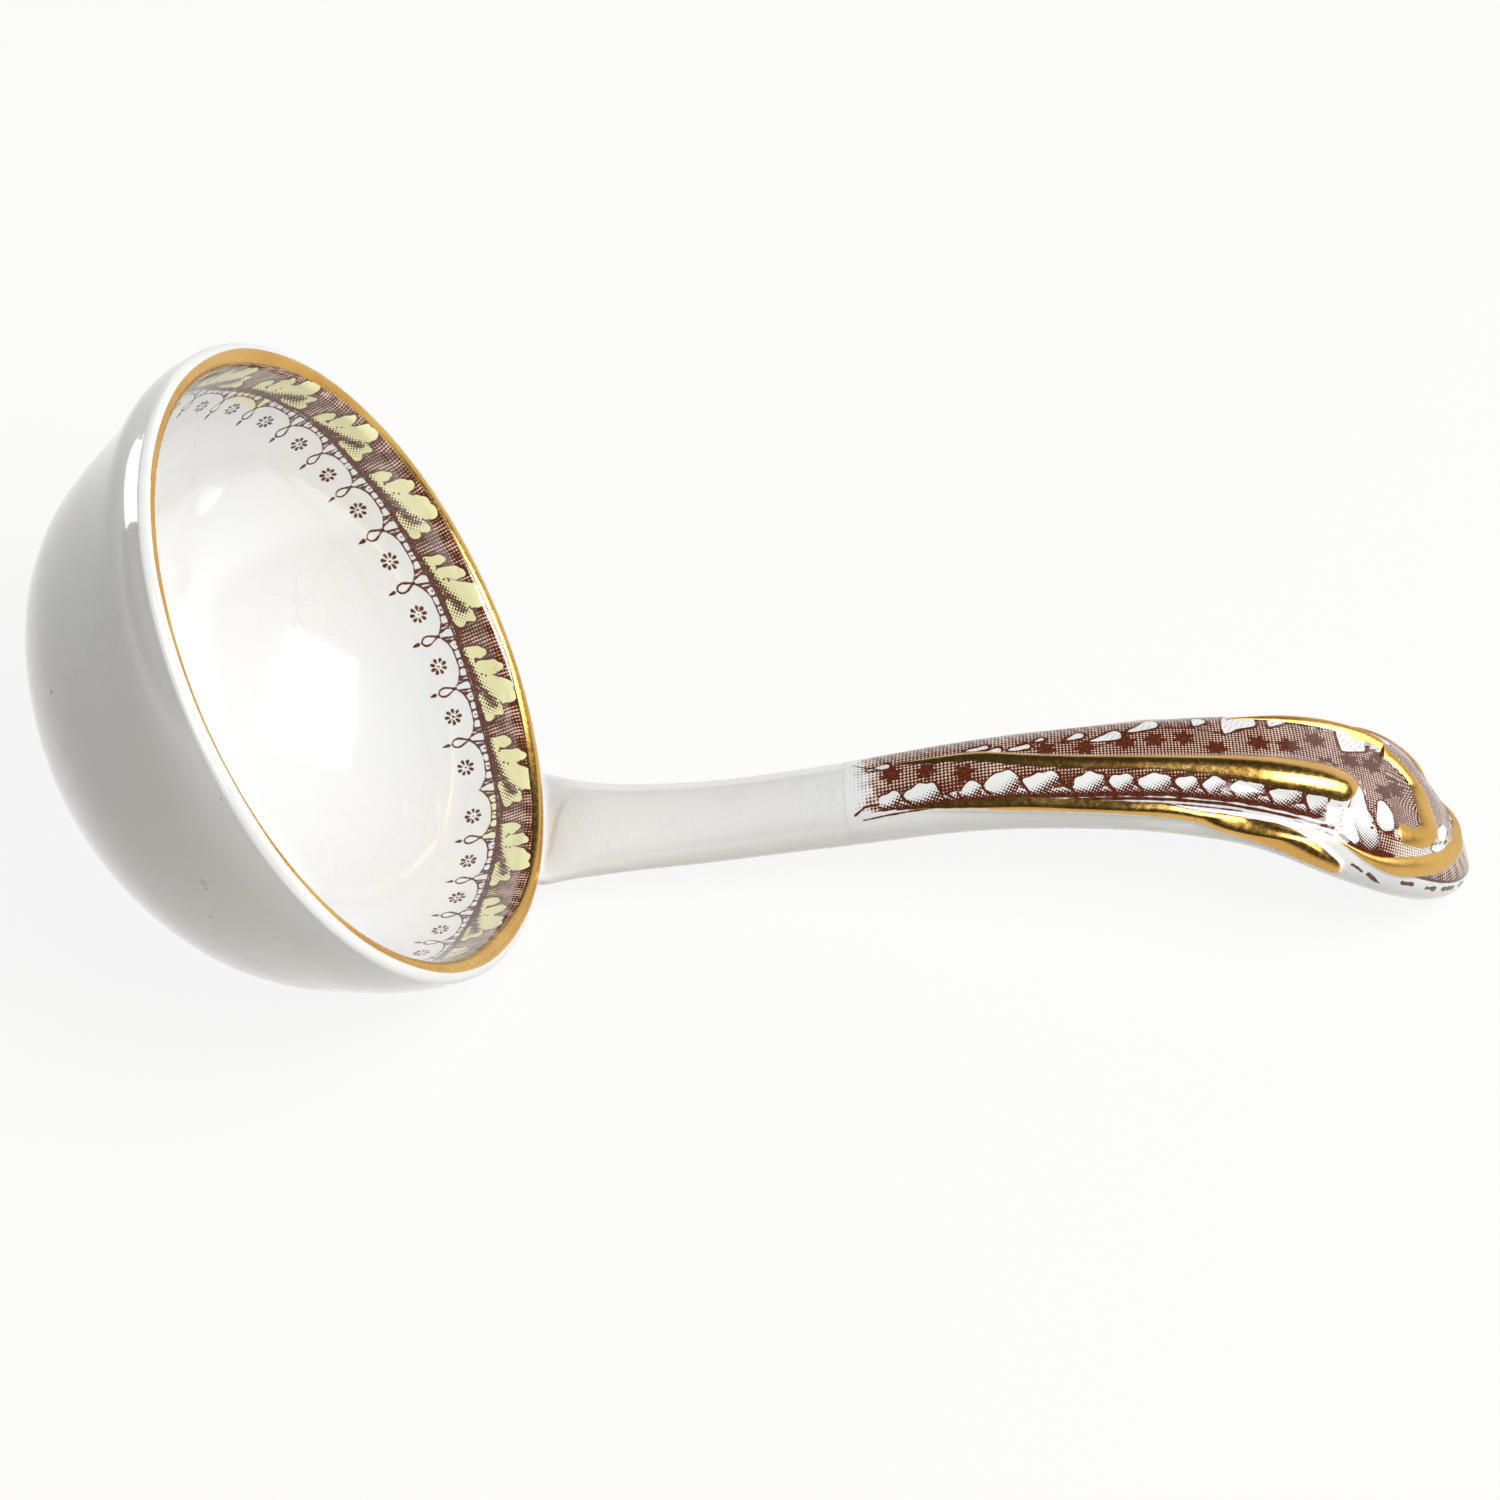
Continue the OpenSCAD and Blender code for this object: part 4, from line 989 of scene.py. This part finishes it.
def handle_print_fields(x, y, edge_y):
    """Ornament of the handle at print coordinates: x along, y across from the middle, edge_y to the side edge."""
    leaf, shade = handle_leaves(x, y)
    ground, reach, turn, outside, begin = handle_ground(x, y, edge_y)
    base = curve(x, PRINT_BASE)
    side = np.abs(y)
    root_line = np.clip(9.3 + 0.6 * (x - 84.3), 8.1, 11.4)
    limit = np.where(y < 0, np.where(x > 83.4, root_line, base), base + 1.2 + step(82, 88, x) * (10.1 - base))
    limit = limit + (edge_y - 2.3 - limit) * step(87.0, 91.5, x)
    away = np.where(x > FOCUS, reach, side)
    inside_print = away < limit
    bare_side = to_segment(x, y, (84.3, -6.5), (85.9, -9.0))[0] < 1.15 + waves(x, y, 0.8, 0.25, 27)
    bare_side = bare_side & (leaf > 0)
    ground = np.where(inside_print & (begin > 0.02) & ~bare_side, ground, -1.0)
    leaf = np.where(inside_print, leaf, 9.0)
    line = handle_lines(x, y, leaf, limit, away, turn, bare_side)
    place = np.stack([np.where(outside, turn * 13.0, x + 0.0035 * (x - 35) ** 2), np.where(outside, reach, y * (1 + 0.006 * (x - 35))), 0 * x], -1)
    return leaf, line, ground, shade, place


def build_handle_print(material):
    theta = np.linspace(0, np.pi / 2, 84)
    s, psi = handle_columns(0.2, 170, start=33.6)
    points, x, y = handle_rows(theta, s, psi, 0.03)
    edge_y = np.broadcast_to(np.hypot(x - s, y)[-1], x.shape)
    leaf, line, ground, shade, place = handle_print_fields(x, y, edge_y)
    fields = {"leaf": leaf, "line": line, "ground": ground, "shade": shade, "print_place": place}
    return make_piece("handle_decoration", points, grid_faces(*x.shape)[:, ::-1], material,
                      ["handle_print"], fields)


def gilt_strip(name, node, material, ridge, flip=False):
    """Gold painted along a ridge, with round ends."""
    p = smooth_path(ridge, 0.22)
    along = np.gradient(p[:, :2], axis=0)
    along /= np.linalg.norm(along, axis=1, keepdims=True)
    run = np.r_[0, np.cumsum(np.hypot(*np.diff(p[:, :2], axis=0).T))]
    wide = p[:, 2] + waves(run, 0 * run, 1.6, 0.05, len(name))
    start, end = p[0], p[-1]
    cap = np.linspace(0, 1, 9)[1:]
    first = [start[:2] - along[0] * start[2] * 0.7 * c for c in cap[::-1]]
    last = [end[:2] + along[-1] * end[2] * 0.7 * c for c in cap]
    round_off = np.sqrt(np.maximum(0.0, 1 - cap ** 2))
    middle = np.concatenate([first, p[:, :2], last])
    half = np.concatenate([wide[0] * round_off[::-1], wide, wide[-1] * round_off])
    along = np.concatenate([np.repeat(along[:1], 8, 0), along, np.repeat(along[-1:], 8, 0)])
    t = np.linspace(-1, 1, 17)[:, None]
    x = middle[:, 0] - along[:, 1] * t * half
    y = middle[:, 1] + along[:, 0] * t * half
    lift = 0.035 + 0.035 * np.minimum(1, 6 * (1 - np.abs(t))) + 0 * x
    faces = grid_faces(*x.shape)
    return make_piece(name, on_handle(x, y, lift), faces[:, ::-1] if flip else faces, material, [node])


def on_flank(ridge, way):
    """A ridge's path moved towards the middle of the top, as far as the side gilding is off the crest."""
    return [(x, y + way * FLANK_SHIFT * float(step(76, 62, x)), wide * 0.92, high) for x, y, wide, high in ridge]


def build_gilding(material, satin):
    gilt_strip("gilt_near_top", "near_top_gilt_line", material, NEAR_FINGER)
    gilt_strip("gilt_far_top", "far_top_gilt_line", satin, FAR_FINGER)
    gilt_strip("gilt_near_side", "near_side_gilt_line", material, on_flank(SIDE_RIDGE, 1))
    gilt_strip("gilt_far_side", "far_side_gilt_line", material, on_flank(FAR_SIDE_RIDGE, -1))
    gilt_strip("gilt_inner_scroll", "inner_scroll_gilding", satin, INNER_SCROLL)
    gilt_strip("gilt_outer_scroll", "outer_scroll_gilding", satin, OUTER_SCROLL)


# Camera: fitted to the rim's ellipse and the outline, held in the bowl's frame
CAMERA_PLACE = np.array([-383.982, -379.119, 289.769])
CAMERA_RIGHT = np.array([0.54354, -0.01895, 0.83917])
CAMERA_UP = np.array([-0.50102, 0.79479, 0.34247])
CAMERA_BACK = np.array([-0.67345, -0.60659, 0.42251])
FOCAL_PX = 5800.0
PHOTO_PX = 1500.0


def build_camera():
    data = bpy.data.cameras.new("camera")
    camera = bpy.data.objects.new("camera", data)
    bpy.context.scene.collection.objects.link(camera)
    axes = [lying_direction(v) for v in (CAMERA_RIGHT, CAMERA_UP, CAMERA_BACK)]
    turn = Matrix([[axes[c][r] for c in range(3)] for r in range(3)]).to_4x4()
    turn.translation = lying(CAMERA_PLACE).tolist()
    camera.matrix_world = turn
    data.sensor_width = 36.0
    data.lens = FOCAL_PX / PHOTO_PX * data.sensor_width
    data.clip_start = 0.01
    bpy.context.scene.camera = camera


def area_light(name, direction, distance, size, power, aim=(-0.01, 0.0, 0.02), roll=0.0, mirrored=True):
    d = np.array(direction, float)
    d /= np.linalg.norm(d)
    data = bpy.data.lights.new(name, "AREA")
    data.shape = "RECTANGLE"
    data.size, data.size_y = size
    data.energy = power
    light = bpy.data.objects.new(name, data)
    bpy.context.scene.collection.objects.link(light)
    side = np.cross([0, 1, 0], d)
    side /= np.linalg.norm(side)
    up = np.cross(d, side)
    side, up = side * np.cos(roll) + up * np.sin(roll), up * np.cos(roll) - side * np.sin(roll)
    turn = Matrix([[side[r], up[r], d[r]] for r in range(3)]).to_4x4()
    turn.translation = (np.array(aim) + d * distance).tolist()
    light.matrix_world = turn
    light.visible_glossy = mirrored


ROOM_OVERHEAD = 0.05
PALE_WALL = (0.82, 0.57)
PALE_WALL_RISE = 0.42
ROOM_LIGHT = 0.06
FLOOR_GLOW = 0.9


def build_lamps():
    bpy.context.scene.view_settings.view_transform = "Standard"
    area_light("key_softbox", (0.47, -0.20, 0.86), 0.75, (0.42, 0.56), 7.6)
    area_light("left_strip", (-0.77, 0.63, 0.13), 0.9, (0.10, 0.48), 1.3, roll=np.radians(26))
    area_light("left_fill", (-0.90, -0.20, 0.45), 1.1, (0.6, 0.5), 0.9, mirrored=False)
    area_light("back_fill", (0.10, 0.90, 0.50), 1.1, (0.8, 0.5), 1.2, mirrored=False)


def seen_ray(n):
    """1 for what the camera, a reflection or a clear material looks at, 0 for light falling on things."""
    light_path = n.tree.nodes.new("ShaderNodeLightPath")
    outs = light_path.outputs
    return either(n, outs["Is Camera Ray"], either(n, outs["Is Glossy Ray"], outs["Is Transmission Ray"]))


def build_world():
    """A pale room near the horizon, higher behind the handle, dark overhead, and a dim even light."""
    world = bpy.data.worlds.new("studio")
    bpy.context.scene.world = world
    world.use_nodes = True
    n = Nodes.__new__(Nodes)
    n.tree = world.node_tree
    n.tree.nodes.clear()
    out = n.tree.nodes.new("ShaderNodeOutputWorld")
    split = n.tree.nodes.new("ShaderNodeSeparateXYZ")
    n.put(split.inputs[0], n.node("ShaderNodeTexCoord", out=0))
    behind = n.math("MULTIPLY_ADD", split.outputs[0], PALE_WALL[0], n.math("MULTIPLY", split.outputs[1], PALE_WALL[1]))
    height = n.math("SUBTRACT", split.outputs[2], n.ramp(behind, 0.55, 0.85, 0.0, PALE_WALL_RISE))
    room = n.ramp(height, 0.03, 0.22, 1.0, ROOM_OVERHEAD)
    seen = n.node("ShaderNodeBackground", {"Color": (1, 1, 1), "Strength": room})
    lit = n.node("ShaderNodeBackground", {"Color": (0.92, 0.95, 1.0), "Strength": ROOM_LIGHT})
    mixed = n.node("ShaderNodeMixShader", {0: seen_ray(n), 1: lit, 2: seen})
    n.tree.links.new(mixed, out.inputs[0])


def build_floor():
    """White paper that keeps a faint shadow."""
    mesh = bpy.data.meshes.new("floor")
    half, low = 3.0, -0.0002
    mesh.from_pydata([(-half, -half, low), (half, -half, low), (half, half, low), (-half, half, low)], [], [(0, 1, 2, 3)])
    floor = bpy.data.objects.new("floor", mesh)
    bpy.context.scene.collection.objects.link(floor)
    n = Nodes("floor_paper")
    grain = n.noise(n.place(), 900.0, 3.0)
    n.set(Base_Color=n.mix(grain, (0.64, 0.61, 0.53), (0.67, 0.64, 0.56)), Roughness=0.8)
    glow = n.node("ShaderNodeEmission", {"Color": (1, 1, 1), "Strength": 1.0})
    blend = n.node("ShaderNodeMixShader", {0: both(n, seen_ray(n), FLOOR_GLOW), 1: n.shader.outputs[0], 2: glow})
    n.tree.links.new(blend, n.out.inputs[0])
    mesh.materials.append(n.material)


rim_gold = gold("rim_gold", 0.2)
line_gold = gold("line_gold", 0.17)
scroll_gold = gold("scroll_gold", 0.32)
border_print = printed("border_print", (0.40, 0.34), 0.0, 0.32, 0.75, LEAF_TINT, 0.92, 0.95, 1.62, 0.6)
net_print = printed("net_print", (0.42, 0.42), 0.0, 0.25, 0.5, LEAF_TINT, 0.0, 0.75, 1.48, 0.3)

build_camera()
build_lamps()
build_world()
build_floor()
build_bowl(bowl_glaze())
build_handle(handle_glaze())
build_rim_gilding(rim_gold)
build_border(border_print)
build_handle_print(net_print)
build_gilding(line_gold, scroll_gold)
